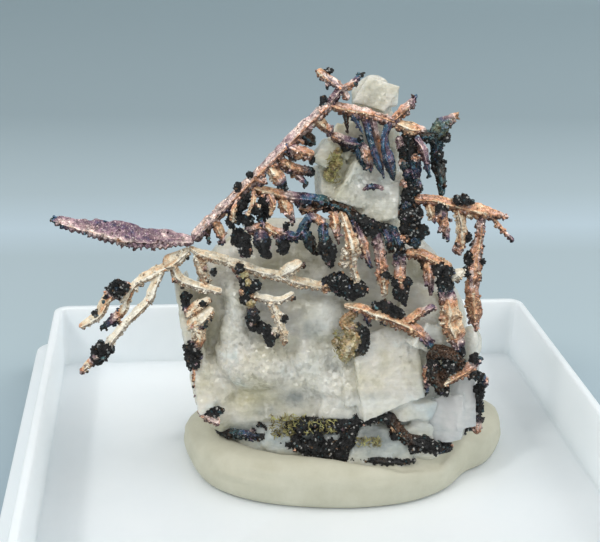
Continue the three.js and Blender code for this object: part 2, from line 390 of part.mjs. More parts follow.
const CALCITE = {
  calcite_matrix: [
    mass([[28.5, 19.0, 45.5, 5.0, 12.0], [30.0, 18.6, 46.2, 3.8, 12.6], [32.5, 18.8, 46.6, 2.9, 13.2],
      [35.5, 19.4, 46.8, 2.4, 13.8], [39.0, 20.2, 47.2, 2.0, 14.2], [42.0, 20.9, 46.8, 1.8, 14.6],
      [44.5, 21.8, 46.0, 1.6, 14.8], [47.5, 23.0, 45.0, 1.8, 15.0]]),
    mass([[21.8, 27.0, 40.0, 7.5, 10.5], [23.6, 23.0, 42.0, 5.6, 11.2], [26.0, 20.6, 44.0, 4.0, 11.6],
      [29.0, 19.6, 45.6, 3.2, 12.0], [31.5, 20.0, 46.0, 4.0, 12.4]]),
    rhomb(18.6, 30.8, 4.4, [1.5, 3.6, 6.4], [0.1, -0.42, 0.1]),
    rhomb(20.2, 37.0, 4.0, [1.8, 4.4, 9.0], [0.05, -0.42, 0.1]),
    lobe(24.2, 32.8, 4.2, [5.6, 4.2, 5.4]),
    lobe(25.6, 35.6, 3.6, [9.4, 5.4, 6.6], [0.1, 0.2, 0.1]),
    lobe(31.4, 36.8, 3.3, [6.4, 4.6, 6.2]),
    rhomb(30.6, 32.8, 3.7, [4.8, 3.8, 4.0], [-0.2, 0.4, -0.2]),
    rhomb(27.3, 40.0, 4.9, [12.2, 4.6, 3.6], [-0.15, 0.05, 0.08]),
    rhomb(38.2, 36.6, 3.2, [6.8, 4.6, 7.8], [0.12, -0.35, 0.28]),
    rhomb(36.4, 40.6, 2.8, [8.6, 3.8, 1.9], [0.15, 0.05, -0.05]),
    rhomb(42.4, 33.6, 3.3, [3.4, 3.0, 2.6], [0.2, 0.45, 0.45]),
    rhomb(43.8, 41.6, 3.3, [3.8, 4.0, 4.2], [0.0, -0.25, -0.3]),
    rhomb(45.0, 40.4, 3.6, [2.2, 3.4, 7.0], [0.0, -0.1, 0.5]),
    lobe(47.0, 34.3, 4.2, [2.4, 3.2, 3.8]),
    rhomb(42.3, 30.6, 4.2, [4.4, 3.4, 4.0], [0.2, 0.3, -0.2]),
    rhomb(26.0, 33.5, 11.4, [7.2, 4.6, 6.2], [0.3, 0.5, 0.3]),
    rhomb(34.5, 29.5, 10.2, [6.4, 4.6, 6.8], [-0.2, 0.7, -0.2]),
    rhomb(41.5, 35.8, 12.2, [6.8, 4.6, 5.6], [0.3, -0.4, 0.2]),
    rhomb(33.0, 40.5, 13.6, [6.4, 4.4, 5.4], [0.2, 0.2, -0.3]),
  ],
  calcite_crest: [
    mass([[11.2, 35.4, 39.2, 3.0, 5.6], [13.0, 34.0, 39.8, 2.9, 6.6], [16.0, 33.8, 40.0, 3.4, 7.8],
      [19.0, 33.2, 40.2, 2.8, 8.6], [21.0, 34.6, 40.0, 3.2, 9.2], [23.0, 36.5, 39.4, 4.6, 10.0]]),
    rhomb(37.6, 9.6, 3.8, [3.9, 2.0, 3.4], [0.1, -0.25, 0.25]),
    rhomb(35.6, 18.2, 3.3, [3.6, 2.8, 4.4], [0.25, 0.35, 0.35]),
    rhomb(38.0, 20.2, 3.6, [4.2, 2.8, 3.6], [0.1, -0.2, -0.2]),
    rhomb(40.2, 18.3, 3.6, [1.4, 1.6, 2.2], [0.2, 0.5, 0.2]),
    rhomb(32.5, 15.3, 2.6, [1.8, 1.8, 2.6], [0.1, 0.4, 0.2]),
    rhomb(33.0, 17.8, 3.4, [2.8, 2.4, 3.0], [0.3, -0.3, 0.3]),
    rhomb(34.2, 14.2, 4.2, [2.8, 2.6, 3.2], [0.0, 0.3, 0.0]),
  ],
};

// ---- Cutting the specimen's pieces clear of one another ----
const grownShape = (shapes, grow) => joined(shapes.map((shape) => solidOf(shape(grow))));

// Everything below a level of the box, in the specimen's own frame.
function below(level) {
  const HALF = 100;
  const ground = new THREE.BoxGeometry(2 * HALF, 2 * HALF, HALF).translate(0, 0, level - HALF / 2);
  return solidOf(ground.applyMatrix4(specimen.matrixWorld.clone().invert()));
}

const solids = new Map();
let taken = below(FLOOR_TOP + SPECIMEN_BOTTOM);
for (const [name, shapes] of [...Object.entries(SILVER), ...Object.entries(CALCITE)]) {
  solids.set(name, mainBody(grownShape(shapes, 0).subtract(taken)));
  taken = taken.add(grownShape(shapes, GAP));
}

// ---- Putty ----
// The foot of the lump on the floor, with the height of its edge above each point.
const PUTTY_EDGE = [
  [-13.0, 8.5, 4.0], [-12.9, 4.2, 4.0], [-11.0, -0.6, 4.0], [-6.4, -3.6, 4.2], [0.8, -5.0, 4.4],
  [7.0, -4.6, 4.4], [11.5, -2.6, 4.4], [14.6, 0.3, 4.4], [17.6, 1.4, 4.6], [19.7, 4.6, 4.8],
  [19.6, 9.4, 4.2], [16.5, 13.6, 4.0], [8.0, 16.6, 4.2], [-2.0, 16.8, 4.2], [-10.0, 14.0, 4.1],
];
const PUTTY_MIDDLE = [3.0, 6.2];
const PUTTY_SIDES = 20;
// Its section from the floor up over the edge: share of the way out, and of the edge's height.
const PUTTY_SECTION = [[0.95, 0], [1.0, 0.24], [1.0, 0.56], [0.95, 0.84], [0.86, 0.96], [0.5, 0.96]];

function puttyLump() {
  const edge = new THREE.CatmullRomCurve3(PUTTY_EDGE.map((point) => new THREE.Vector3(...point)), true);
  const around = edge.getPoints(PUTTY_SIDES).slice(0, PUTTY_SIDES);
  return skin(PUTTY_SECTION.map(([out, up]) => around.map((point) => new THREE.Vector3(
    THREE.MathUtils.lerp(PUTTY_MIDDLE[0], point.x, out),
    THREE.MathUtils.lerp(PUTTY_MIDDLE[1], point.y, out),
    FLOOR_TOP + point.z * up,
  ))));
}

const takenByPutty = joined([grownShape(CALCITE.calcite_matrix, GAP), grownShape(SILVER.base_crust, GAP)])
  .subtract(below(FLOOR_TOP + SPECIMEN_BOTTOM - GAP));
const putty = mainBody(solidOf(puttyLump()).subtract(moved(takenByPutty, specimen.matrixWorld)));

// ---- Box base ----
function roundedSquare(side, corner) {
  const half = side / 2;
  const shape = new THREE.Shape();
  shape.moveTo(-half + corner, -half);
  for (let turn = 0; turn < 4; turn += 1) {
    const angle = (turn * Math.PI) / 2 - Math.PI / 4;
    const x = Math.SQRT2 * (half - corner) * Math.cos(angle);
    const y = Math.SQRT2 * (half - corner) * Math.sin(angle);
    shape.absarc(x, y, corner, angle - Math.PI / 4, angle + Math.PI / 4, false);
  }
  shape.closePath();
  return shape;
}

function slab(side, corner, bottom, top) {
  const CURVE_SEGMENTS = 3;
  const options = { depth: top - bottom, bevelEnabled: false, curveSegments: CURVE_SEGMENTS };
  return solidOf(new THREE.ExtrudeGeometry(roundedSquare(side, corner), options).translate(0, 0, bottom));
}

const boxBase = slab(BOX, BOX_CORNER, 0, LEDGE_TOP)
  .add(slab(RIM, RIM_CORNER, FLOOR_TOP, RIM_TOP))
  .subtract(slab(RIM - 2 * RIM_WALL, RIM_CORNER - RIM_WALL, FLOOR_TOP, RIM_TOP + CUT_PAST));

// ---- Materials and the scene ----
const FINISH = {
  silver: { color: 0xb98a76, roughness: 0.42, metalness: 0.85 },
  tarnished: { color: 0x4a3f48, roughness: 0.5, metalness: 0.7 },
  crust: { color: 0x24221f, roughness: 0.6, metalness: 0.3 },
  calcite: { color: 0xd9d4c6, roughness: 0.45, metalness: 0 },
  putty: { color: 0xcfc9b2, roughness: 0.85, metalness: 0 },
  plastic: { color: 0xeef2f4, roughness: 0.35, metalness: 0 },
};
const DARK_BRANCHES = ["silver_column", "silver_left_fringe", "silver_tangle", "silver_right_edge"];

function finishOf(name) {
  if (name.startsWith("calcite")) return FINISH.calcite;
  if (name === "base_crust") return FINISH.crust;
  return DARK_BRANCHES.includes(name) ? FINISH.tarnished : FINISH.silver;
}

function named(name, solid, finish) {
  const material = new THREE.MeshStandardMaterial({ ...finish, flatShading: true });
  const mesh = new THREE.Mesh(geometryOf(solid), material);
  mesh.name = name;
  return mesh;
}

const object = new THREE.Group();
object.add(named("box_base", boxBase, FINISH.plastic));
object.add(named("putty", putty, FINISH.putty));
for (const [name, solid] of solids) specimen.add(named(name, solid, finishOf(name)));
object.add(specimen);

export default object;
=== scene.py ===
# %% [markdown]
# # A native silver specimen on calcite
# This scene dresses a finished CAD model of a mineral specimen: branching silver on pale calcite, set in
# putty in the white base of a display box. The CAD solids fix every size and place. Here each of them
# gets a detailed mesh of the same shape and a finish made of shader nodes.

# %% Load the frame
import math

import bmesh
import bpy
import numpy as np
from mathutils import Matrix, Vector


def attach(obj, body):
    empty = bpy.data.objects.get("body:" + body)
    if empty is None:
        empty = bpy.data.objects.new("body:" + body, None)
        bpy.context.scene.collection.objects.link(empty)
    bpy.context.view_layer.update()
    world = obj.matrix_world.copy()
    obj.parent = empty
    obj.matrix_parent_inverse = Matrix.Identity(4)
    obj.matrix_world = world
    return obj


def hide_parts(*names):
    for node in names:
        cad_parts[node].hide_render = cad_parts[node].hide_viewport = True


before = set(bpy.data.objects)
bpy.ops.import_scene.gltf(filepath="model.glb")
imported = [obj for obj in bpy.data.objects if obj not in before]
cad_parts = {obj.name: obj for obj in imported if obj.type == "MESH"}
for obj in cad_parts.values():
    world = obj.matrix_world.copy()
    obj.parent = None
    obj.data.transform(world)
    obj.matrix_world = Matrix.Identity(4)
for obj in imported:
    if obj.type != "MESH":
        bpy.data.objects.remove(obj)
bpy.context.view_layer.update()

MM = 0.001

# %% [markdown]
# ## The drawing plane and the camera
# The specimen is a tangle of a hundred small arms, so it is drawn the way a draughtsman would: each
# point has a place x, y on a drawing plane in millimetres and a depth behind the specimen's leaning
# front. One function turns such a point into its real place. The camera stands at the eye of that
# drawing, so what is drawn is what the camera sees, and the depths still make it a real object from
# every other side.

# %% Drawing plane
EYE_DISTANCE = 109.7
LOOK_DOWN = math.radians(22.14)
LOOK_ASIDE = math.radians(7.77)
LOOK_ROLL = math.radians(2.17)
SIGHT_X, SIGHT_Y = 30, 27.1
FLOOR_TOP = 1.2
PLANE_CENTRE = Vector((-1.66, 10.62, 17.89 + FLOOR_TOP))
SEAT_Y = 46
SEAT_DEPTH = -6.3
LEAN = math.tan(math.radians(13.1))

plane = Matrix.Rotation(-LOOK_ASIDE, 4, "Z") @ Matrix.Rotation(-LOOK_DOWN, 4, "X")
plane = Matrix.Translation(PLANE_CENTRE) @ plane @ Matrix.Rotation(-LOOK_ROLL, 4, "Y")
PLANE_TURN = np.array(plane.to_3x3())
UP = PLANE_TURN.T @ np.array([0, 0, 1])  # the way up, as the drawing plane sees it


def place(points):
    """The places of drawn points [x, y, behind], in the drawing plane's own axes and in mm."""
    x, y, behind = np.asarray(points, float).T
    depth = SEAT_DEPTH - (SEAT_Y - y) * LEAN + behind
    spread = 1 + depth / EYE_DISTANCE
    return np.column_stack([(x - SIGHT_X) * spread, depth, (SIGHT_Y - y) * spread]), spread


def to_world(points):
    """From the drawing plane's axes in mm to the model's axes in metres."""
    return (points @ PLANE_TURN.T + np.array(PLANE_CENTRE)) * MM


# %% Camera
LENS = 65.8
camera_data = bpy.data.cameras.new("camera")
camera_data.lens = LENS
camera_data.sensor_width = 36
camera_data.clip_start = 0.005
camera = bpy.data.objects.new("camera", camera_data)
eye = plane @ Matrix.Translation((0, -EYE_DISTANCE, 0)) @ Matrix.Rotation(math.radians(90), 4, "X")
eye.translation *= MM
camera.matrix_world = eye
bpy.context.scene.collection.objects.link(camera)
bpy.context.scene.camera = camera
print("camera at", [round(v, 4) for v in eye.translation])

# %% [markdown]
# ## Mesh helpers
# Every piece ends as one mesh whose place is in its vertices. Arrays go straight into the mesh, which
# keeps tens of thousands of faces quick. Noise made from a hashed lattice gives the same bumps on each
# run.


# %% Mesh from arrays
def mesh_object(name, points, faces, marks=None, smooth=False):
    """An object from points in metres, faces, and named numbers for each point."""
    mesh = bpy.data.meshes.new(name)
    mesh.from_pydata(points.tolist(), [], [list(map(int, face)) for face in faces])
    for mark, values in (marks or {}).items():
        mesh.attributes.new(mark, "FLOAT", "POINT").data.foreach_set("value", values.astype(np.float32))
    mesh.shade_smooth() if smooth else mesh.shade_flat()
    mesh.validate()
    thing = bpy.data.objects.new(name, mesh)
    bpy.context.scene.collection.objects.link(thing)
    return thing


def skin_faces(rings, count):
    """Faces of a closed skin over rings of points, with both ends capped."""
    faces = []
    for ring in range(rings - 1):
        for k in range(count):
            a, b = ring * count + k, ring * count + (k + 1) % count
            faces.append((a, b, b + count, a + count))
    faces.append(tuple(range(count - 1, -1, -1)))
    last = (rings - 1) * count
    faces.append(tuple(range(last, last + count)))
    return faces


def joined(bodies):
    """The points and faces of several bodies as those of one."""
    points, faces, start = [], [], 0
    for body_points, body_faces in bodies:
        points.append(body_points)
        faces += [tuple(index + start for index in face) for face in body_faces]
        start += len(body_points)
    return np.vstack(points), faces


def plain_mesh(thing):
    """Turns what an object's modifiers make into its own mesh, and drops the modifiers."""
    graph = bpy.context.evaluated_depsgraph_get()
    made = bpy.data.meshes.new_from_object(thing.evaluated_get(graph))
    thing.modifiers.clear()
    thing.data = made
    return thing


print("a skin over 3 rings of 4 points has", len(skin_faces(3, 4)), "faces")

# %% Noise
LATTICE = np.array([73856093, 19349663, 83492791])


def noise_at(points, size, seed=0):
    """Smooth noise between -1 and 1 at each point, with bumps of a size in the points' own units."""
    cell = points / size + 17.3 * seed
    base = np.floor(cell).astype(np.int64)
    part = cell - base
    part = part * part * (3 - 2 * part)
    total = np.zeros(len(points))
    for corner in range(8):
        step = np.array([corner & 1, corner >> 1 & 1, corner >> 2])
        key = (base + step) @ LATTICE
        key = (key ^ (key >> 13)) * 1274126177
        value = ((key ^ (key >> 16)) & 0xFFFF) / 32767.5 - 1
        total += value * np.prod(np.where(step, part, 1 - part), axis=1)
    return total


print("noise at three places:", noise_at(np.eye(3), 0.4).round(2))

# %% [markdown]
# ## A silver arm
# Native silver grows as stacked crystals, so an arm is a ridged bar with rough, stepped faces, not a
# smooth wire. The drawn points are joined by a smooth curve, and a four-edged section is swept along it:
# two faces look up and stay pale, two look down and grow teeth. The finish darkens the downward faces
# with tarnish and painted shade, darkens the back with painted shade, and makes the front ridge paler as
# a painted highlight. Side crystals stand along it at a steady pitch, as a dendrite grows them. Each
# point
# carries two numbers: tone is how far the tarnish has gone from cream over copper, violet and blue to
# brown, and crust is how much black sulphide sits on it.

# %% Arm section
ARM_STEP = 0.13
SECTION_CORNERS = np.array([(0.5, 0.0), (0.05, 0.44), (-0.5, 0.0), (-0.05, -0.4)])
RIDGE_DROP = 0.45  # the front ridge lies low, so the upper face is the broad one
FACE_POINTS = 4
ARM_SECTION = np.vstack([corner + (after - corner) * k / FACE_POINTS
                         for corner, after in zip(SECTION_CORNERS, np.roll(SECTION_CORNERS, -1, axis=0))
                         for k in range(FACE_POINTS)])
ARM_SIDES = len(ARM_SECTION)
THINNEST = 0.06
END_LENGTH, END_WIDTH = 0.4, 0.12  # over how many widths an end is rounded, and the width that is left
STAIR_JITTER = 0.07  # how much the width changes from one grown step to the next
BACK_SHADE_DEPTH = 0.17  # how far forward the painted shade of the back comes, in widths
TOOTH_PITCH = 0.52
TOOTH_DEPTH = 0.3
STEP_PITCH = 1.1
HACKLE = 0.042
FLUTES = 0.09
CRUST_LUMPS = 0.17
RIDGE_HIGHLIGHT = 0.1  # painted highlight: how much paler the front ridge is made


def smooth_line(values, steps):
    """A Catmull-Rom curve through rows of values, with a number of steps for each stretch."""
    padded = np.vstack([2 * values[0] - values[1], values, 2 * values[-1] - values[-2]])
    line = []
    for i, count in enumerate(steps):
        p0, p1, p2, p3 = padded[i:i + 4]
        for t in np.arange(count) / count:
            line.append(0.5 * (2 * p1 + (p2 - p0) * t + (2 * p0 - 5 * p1 + 4 * p2 - p3) * t ** 2
                               + (3 * p1 - p0 - 3 * p2 + p3) * t ** 3))
    line.append(values[-1])
    return np.array(line)


def along(values, count):
    """Values for a number of points from one, two or as many given."""
    values = np.atleast_1d(np.asarray(values, float))
    if len(values) == count:
        return values
    return np.interp(np.linspace(0, 1, count), np.linspace(0, 1, len(values)), values)


def unit(rows):
    return rows / np.maximum(np.linalg.norm(rows, axis=-1, keepdims=True), 1e-9)


print("an arm has", ARM_SIDES, "points around it, every", ARM_STEP, "mm")

# %% Bars
def bar(centres, widths, thick, tone, crust, knobs):
    """A ridged, hackly bar through places in the drawing plane's axes, with its middle line."""
    count = len(centres)
    rows = np.column_stack([centres, along(widths, count), along(tone, count), along(crust, count)])
    lengths = np.linalg.norm(np.diff(centres, axis=0), axis=1)
    line = smooth_line(rows, [max(2, round(length / ARM_STEP)) for length in lengths])
    centre, width, tones, crusts = line[:, :3], np.maximum(line[:, 3], THINNEST), line[:, 4], line[:, 5]
    travelled = np.concatenate([[0], np.cumsum(np.linalg.norm(np.diff(centre, axis=0), axis=1))])
    to_end = np.minimum(travelled, travelled[-1] - travelled)
    rounding = np.clip(to_end / (END_LENGTH * width + 0.01), 0, 1)
    width = np.maximum(width * np.sqrt(END_WIDTH + (1 - END_WIDTH) * rounding * (2 - rounding)), THINNEST)
    stair = np.floor(travelled / STEP_PITCH + 0.6 * noise_at(centre, 2.0, 8))
    stairs = np.column_stack([stair, stair * 0.7, stair * 1.3]) + centre[0]
    width = width * (1 + STAIR_JITTER * noise_at(stairs, 0.83, 9))
    tangent = unit(np.gradient(centre, axis=0))
    across = unit(np.cross([0, -1, 0], tangent))
    out = np.cross(tangent, across)
    drop = RIDGE_DROP * np.clip(across @ UP * 3, -1, 1)
    sideways = ARM_SECTION[:, 0] - drop[:, None] * ARM_SECTION[:, 1]
    offset = across[:, None] * sideways[:, :, None] + out[:, None] * ARM_SECTION[:, 1][:, None] * thick
    offset = offset * width[:, None, None]
    way = unit(offset).reshape(-1, 3)
    flat = (centre[:, None] + offset).reshape(-1, 3)
    wide = np.repeat(width, ARM_SIDES)
    crusty = np.repeat(crusts, ARM_SIDES)
    went = np.repeat(travelled, ARM_SIDES)
    tooth = np.abs((went + 0.2 * noise_at(flat, 0.7, 10)) / TOOTH_PITCH % 1 - 0.5) * 2
    teeth = TOOTH_DEPTH * np.clip(-way @ UP - 0.35, 0, 1) * (tooth - 0.35)
    column = np.tile(np.arange(ARM_SIDES), len(line))
    fluted = np.column_stack([went * 0.4, column, np.full(len(flat), centre[0, 0])])
    grow = wide * (teeth + 0.1 * noise_at(flat, 0.55, 1) + FLUTES * noise_at(fluted, 1.0, 14))
    grow += HACKLE * (0.4 + knobs) * noise_at(flat, 0.2, 2)
    grow += crusty * (0.05 + CRUST_LUMPS * noise_at(flat, 0.42, 12))
    flat = flat + way * grow[:, None]
    tones = np.repeat(tones, ARM_SIDES) + 0.05 * noise_at(flat, 0.9, 3) + 0.09 * noise_at(fluted, 1.3, 4)
    # painted highlight: the front ridge of each bar is made paler
    tones -= RIDGE_HIGHLIGHT * np.tile(np.arange(ARM_SIDES) == FACE_POINTS, len(line))
    knobby = knobs * np.clip(0.45 - way @ UP, 0.12, 1)
    # painted shade: the back of each bar is marked to be darkened, its lower edges most
    back = np.tile(np.clip(1 - ARM_SECTION[:, 1] / BACK_SHADE_DEPTH, 0, 1), len(line))
    back_shade = back * np.clip(0.6 - 0.75 * way @ UP, 0.1, 1)
    shape = {"points": flat, "faces": skin_faces(len(line), ARM_SIDES), "tone": tones, "crust": crusty,
             "knobs": knobby, "back_shade": back_shade}
    return shape, line, tangent, travelled[-1]


# %% Side crystals and arms
RNG = np.random.default_rng(11)
SPUR_LEAN = 0.5  # how far a side crystal leans along its arm


def spurs(line, tangent, length, pitch, reach):
    """Small side crystals on the lower side of an arm."""
    shapes = []
    for travelled in np.arange(pitch * 0.6, length - pitch * 0.2, pitch):
        at = min(int(travelled / length * len(line)), len(line) - 1)
        centre, width, tone, crust = line[at, :3], line[at, 3], line[at, 4], line[at, 5]
        down = -(UP - (UP @ tangent[at]) * tangent[at])
        side = np.cross([0, -1, 0], tangent[at]) * RNG.choice([-1, 1])
        level = np.linalg.norm(down)
        way = unit(down * level + side * (1 - level) + SPUR_LEAN * tangent[at] + RNG.normal(0, 0.35, 3))
        tip = centre + way * (0.42 * width + reach * RNG.uniform(0.4, 1.3))
        thick = min(width * 0.6, 0.5) * RNG.uniform(0.7, 1.1)
        middle = (centre + tip) / 2 + RNG.normal(0, 0.05, 3)
        shade = tone + RNG.uniform(-0.12, 0.25)
        black = np.clip(crust + RNG.choice([0, 0.7], p=[0.65, 0.35]), 0, 1)
        shapes.append(bar(np.array([centre, middle, tip]), (thick, thick, thick * 0.5), 0.9, shade,
                          (crust, crust, black), 0.7)[0])
    return shapes


def arm(points, widths, thick=0.9, tone=0.25, crust=0.0, side=(0.8, 0.3), knobs=0.5, moss=0.0):
    """An arm, blade or tooth: drawn points and widths, thickness, tone, crust, the pitch and reach of its
    side crystals, how knobbly it is, and how much olive stain is on it."""
    drawn = []
    for point in points:
        drawn.append(tuple(point) if len(point) == 3 else (*point, drawn[-1][2]))
    centres, spread = place(drawn)
    real_widths = along(widths, len(drawn)) * spread
    shape, line, tangent, length = bar(centres, real_widths, thick, tone, crust, knobs)
    return mossy([shape, *spurs(line, tangent, length, *side)], moss)


def mossy(shapes, moss):
    for shape in shapes:
        shape["moss"] = np.full(len(shape["points"]), moss)
    return shapes


# %% Lumps and fibres
FIBRE_LENGTH, FIBRE_WIDTH, FIBRE_TONE = 0.6, 0.1, 0.1
FIBRE_SWELL = np.array([0.5, 1, 0.4])  # thickness at its foot, middle and tip
LUMP_KNOBS = 0.8
ball = bmesh.new()
bmesh.ops.create_icosphere(ball, subdivisions=3, radius=1)
BALL_POINTS = np.array([vert.co[:] for vert in ball.verts])
BALL_FACES = [tuple(vert.index for vert in face.verts) for face in ball.faces]
ball.free()
print("a lump has", len(BALL_POINTS), "points")


def lump(x, y, behind, radius, tone=0.95, crust=1.0):
    """A knobbly lump at a drawn place."""
    (centre,), (spread,) = place([(x, y, behind)])
    rough = 1 + 0.4 * noise_at(BALL_POINTS * radius + centre, 0.45, 5)
    rough = rough + 0.2 * noise_at(BALL_POINTS * radius + centre, 0.2, 6)
    points = centre + BALL_POINTS * RNG.uniform(0.75, 1.25, 3) * (radius * spread * rough)[:, None]
    count = len(points)
    tones = np.full(count, tone) + 0.08 * noise_at(points, 0.5, 7)
    return {"points": points, "faces": BALL_FACES, "tone": tones, "crust": np.full(count, crust),
            "knobs": np.full(count, LUMP_KNOBS), "back_shade": np.zeros(count)}


def lumps(*places, tone=0.95, crust=1.0, moss=0.0):
    return mossy([lump(*spot, tone=tone, crust=crust) for spot in places], moss)


def fibres(x, y, behind, half_width, half_height, count):
    """A tuft of fine olive needles about a drawn place, lying this way and that."""
    shapes = []
    turn = 2 * np.pi * np.arange(3) / 3
    for _ in range(count):
        middle = np.array([x, y, behind]) + RNG.uniform(-1, 1, 3) * (half_width, half_height, 0.15)
        way = unit(RNG.normal(0, 1, 3) * (1, 0.8, 0.4))
        reach = way * FIBRE_LENGTH / 2 * RNG.uniform(0.6, 1.2)
        line = place([middle - reach, middle + RNG.normal(0, 0.06, 3), middle + reach])[0]
        across = unit(np.cross(way, (0.3, 1, 0.2)))
        ring = np.cos(turn)[:, None] * across + np.sin(turn)[:, None] * np.cross(way, across)
        points = (line[:, None] + ring * FIBRE_SWELL[:, None, None] * FIBRE_WIDTH / 2).reshape(-1, 3)
        flat = np.zeros(len(points))
        shapes.append({"points": points, "faces": skin_faces(3, 3), "tone": flat + FIBRE_TONE,
                       "crust": flat, "knobs": flat, "back_shade": flat})
    return mossy(shapes, 1.0)


# %% [markdown]
# ## The branches
# The silver is one grown dendrite. It is split at its main forks, as the CAD model is, so each branch
# here replaces one CAD solid. The tables follow the crystal from each fork outwards.

# %% Branches of the upper fan
CREAM, COPPER, ROSE, BROWN, BLACK = 0.03, 0.22, 0.33, 0.82, 1.0
BRANCHES = {}
BRANCHES["silver_trunk"] = [
    arm([(19.3, 24.0, 1.6), (20.4, 22.7, 1.5), (25.4, 17.8, 1.1), (30.4, 12.8, 0.8), (33.0, 10.3, 0.7)],
        (0.8, 1.15, 1.25, 1.25, 1.1), tone=(0.41, 0.37, 0.355, 0.35, 0.36), side=(0.55, 0.45),
        knobs=0.2),
    arm([(20.7, 22.6, 1.5), (20.9, 24.5, 1.2)], (0.8, 0.15), tone=BROWN),
    arm([(21.4, 22.0, 1.4), (22.1, 23.4, 1.0), (22.3, 24.6, 0.9)], (1.0, 0.95, 0.15),
        tone=(COPPER, COPPER, 0.66)),
    arm([(25.6, 17.8, 1.1), (26.6, 18.3, 0.6)], (1.2, 0.9), tone=ROSE),
    arm([(27.0, 16.6, 1.1), (27.8, 17.8, 0.7), (28.4, 18.7, 0.6)], (1.3, 1.3, 0.7),
        tone=(0.2, 0.2, 0.87), crust=(0, 0, 0.7)),
    arm([(27.8, 15.9, 1.1), (29.4, 16.8, 0.8), (31.4, 17.3, 1.6)], (0.9, 0.95, 0.85),
        tone=(0.25, 0.22, 0.58), crust=(0, 0, 0.8)),
    arm([(28.0, 16.4, 1.3), (29.6, 17.4, 1.2), (30.8, 18.5, 1.4)], (0.8, 0.7, 0.4),
        tone=(0.44, 0.33, 0.76)),
    arm([(28.6, 14.4, 1.0), (29.9, 15.1, 0.4), (31.4, 15.4, 0.8)], (1.2, 1.3, 1.1),
        tone=(0.76, 0.23, 0.26)),
    arm([(30.0, 13.2, 0.9), (31.4, 14.3, 1.6)], (1.3, 1.1), tone=(0.87, 0.71), crust=0.3),
    arm([(31.4, 11.8, 0.8), (32.3, 12.5, 1.0), (33.3, 13.2, 1.6)], (1.1, 1.1, 0.9),
        tone=(0.2, 0.2, 0.56)),
    lumps((23.8, 18.7, 1.2, 0.5), (25.0, 17.5, 1.1, 0.42), (32.4, 10.1, 0.9, 0.45),
          (29.4, 15.7, 0.7, 0.4), (31.2, 16.0, 0.9, 0.42)),
]
BRANCHES["silver_blade"] = [
    arm([(19.4, 24.1, 1.6), (18.0, 23.9, 1.5), (16.5, 23.9, 1.3), (14.5, 23.8, 1.0), (12.5, 23.5, 0.8),
         (10.0, 23.0, 0.8), (7.5, 22.5, 1.0), (6.0, 22.1, 1.2), (5.0, 21.9, 1.3)],
        (0.9, 1.3, 1.8, 2.0, 2.4, 2.0, 1.5, 1.0, 0.2), thick=0.5,
        tone=(0.41, 0.44, 0.455, 0.465, 0.465, 0.465, 0.47, 0.48, 0.8), side=(0.4, 0.15), knobs=0.1),
]
BRANCHES["silver_crown"] = [
    arm([(32.7, 10.8, 0.8), (34.1, 8.7, 0.7)], (1.0, 0.9), tone=(0.4, 0.46), crust=(0.3, 0.1)),
    arm([(34.2, 8.8, 0.7), (35.1, 8.4, 0.9), (36.2, 7.3, 1.2)], (0.7, 0.7, 0.45),
        tone=(0.4, 0.28, 0.81)),
    arm([(34.3, 8.9, 0.7), (33.5, 8.3, 0.5), (32.6, 7.7, 0.3), (31.7, 7.0, 0.3)], (0.8, 0.9, 1.0, 0.8),
        tone=(0.38, 0.36, 0.3, 0.14)),
    arm([(34.1, 8.7, 0.8), (34.8, 10.0, 0.9)], (0.9, 0.7), tone=ROSE),
    lumps((32.9, 7.1, 0.6, 0.38)),
]
BRANCHES["silver_top_arm"] = [
    arm([(33.2, 10.5, 0.9), (34.6, 10.9, 0.9), (36.0, 11.2, 1.0), (37.5, 11.5, 1.2), (39.0, 12.0, 1.4),
         (40.0, 12.3, 1.5)], (0.9, 1.0, 1.0, 1.0, 1.0, 0.9), tone=(0.28, 0.27, 0.3, 0.3, 0.34, 0.36),
        side=(0.5, 0.5), knobs=0.3),
    arm([(39.2, 12.1, 1.4), (40.6, 10.8, 1.2), (41.7, 9.4, 1.2)], (0.8, 1.2, 0.2), thick=0.7,
        tone=(0.3, 0.28, 0.7)),
    arm([(39.6, 12.2, 1.4), (41.2, 12.9, 1.0), (42.6, 12.9, 1.2)], (1.1, 1.3, 0.7),
        tone=(0.2, 0.18, 0.44)),
    arm([(34.5, 10.9, 1.0), (34.8, 13.4, 0.9)], (0.9, 0.15), tone=BROWN),
    arm([(35.2, 11.2, 1.0), (36.3, 13.4, 0.6)], (0.7, 0.15), tone=0.66),
    arm([(36.5, 11.6, 1.1), (37.2, 14.4, 0.8), (37.8, 16.3, 0.6), (38.2, 17.4, 0.6)],
        (0.8, 0.7, 0.7, 0.2), tone=(0.56, 0.62, 0.64, 0.7), side=(2.5, 0.05), knobs=0.1),
    arm([(37.2, 11.6, 1.2), (37.8, 14.6, 1.3), (38.4, 17.9, 1.0)], (0.8, 0.7, 0.2), tone=(0.5, 0.3, 0.6),
        side=(2.5, 0.05), knobs=0.1),
    arm([(38.9, 12.2, 1.4), (38.5, 14.0, 0.8), (39.0, 16.2, 0.6), (39.4, 18.1, 0.7)],
        (0.9, 0.9, 1.3, 0.25), tone=(0.63, 0.64, 0.62, 0.72), side=(2.5, 0.05), knobs=0.1),
]
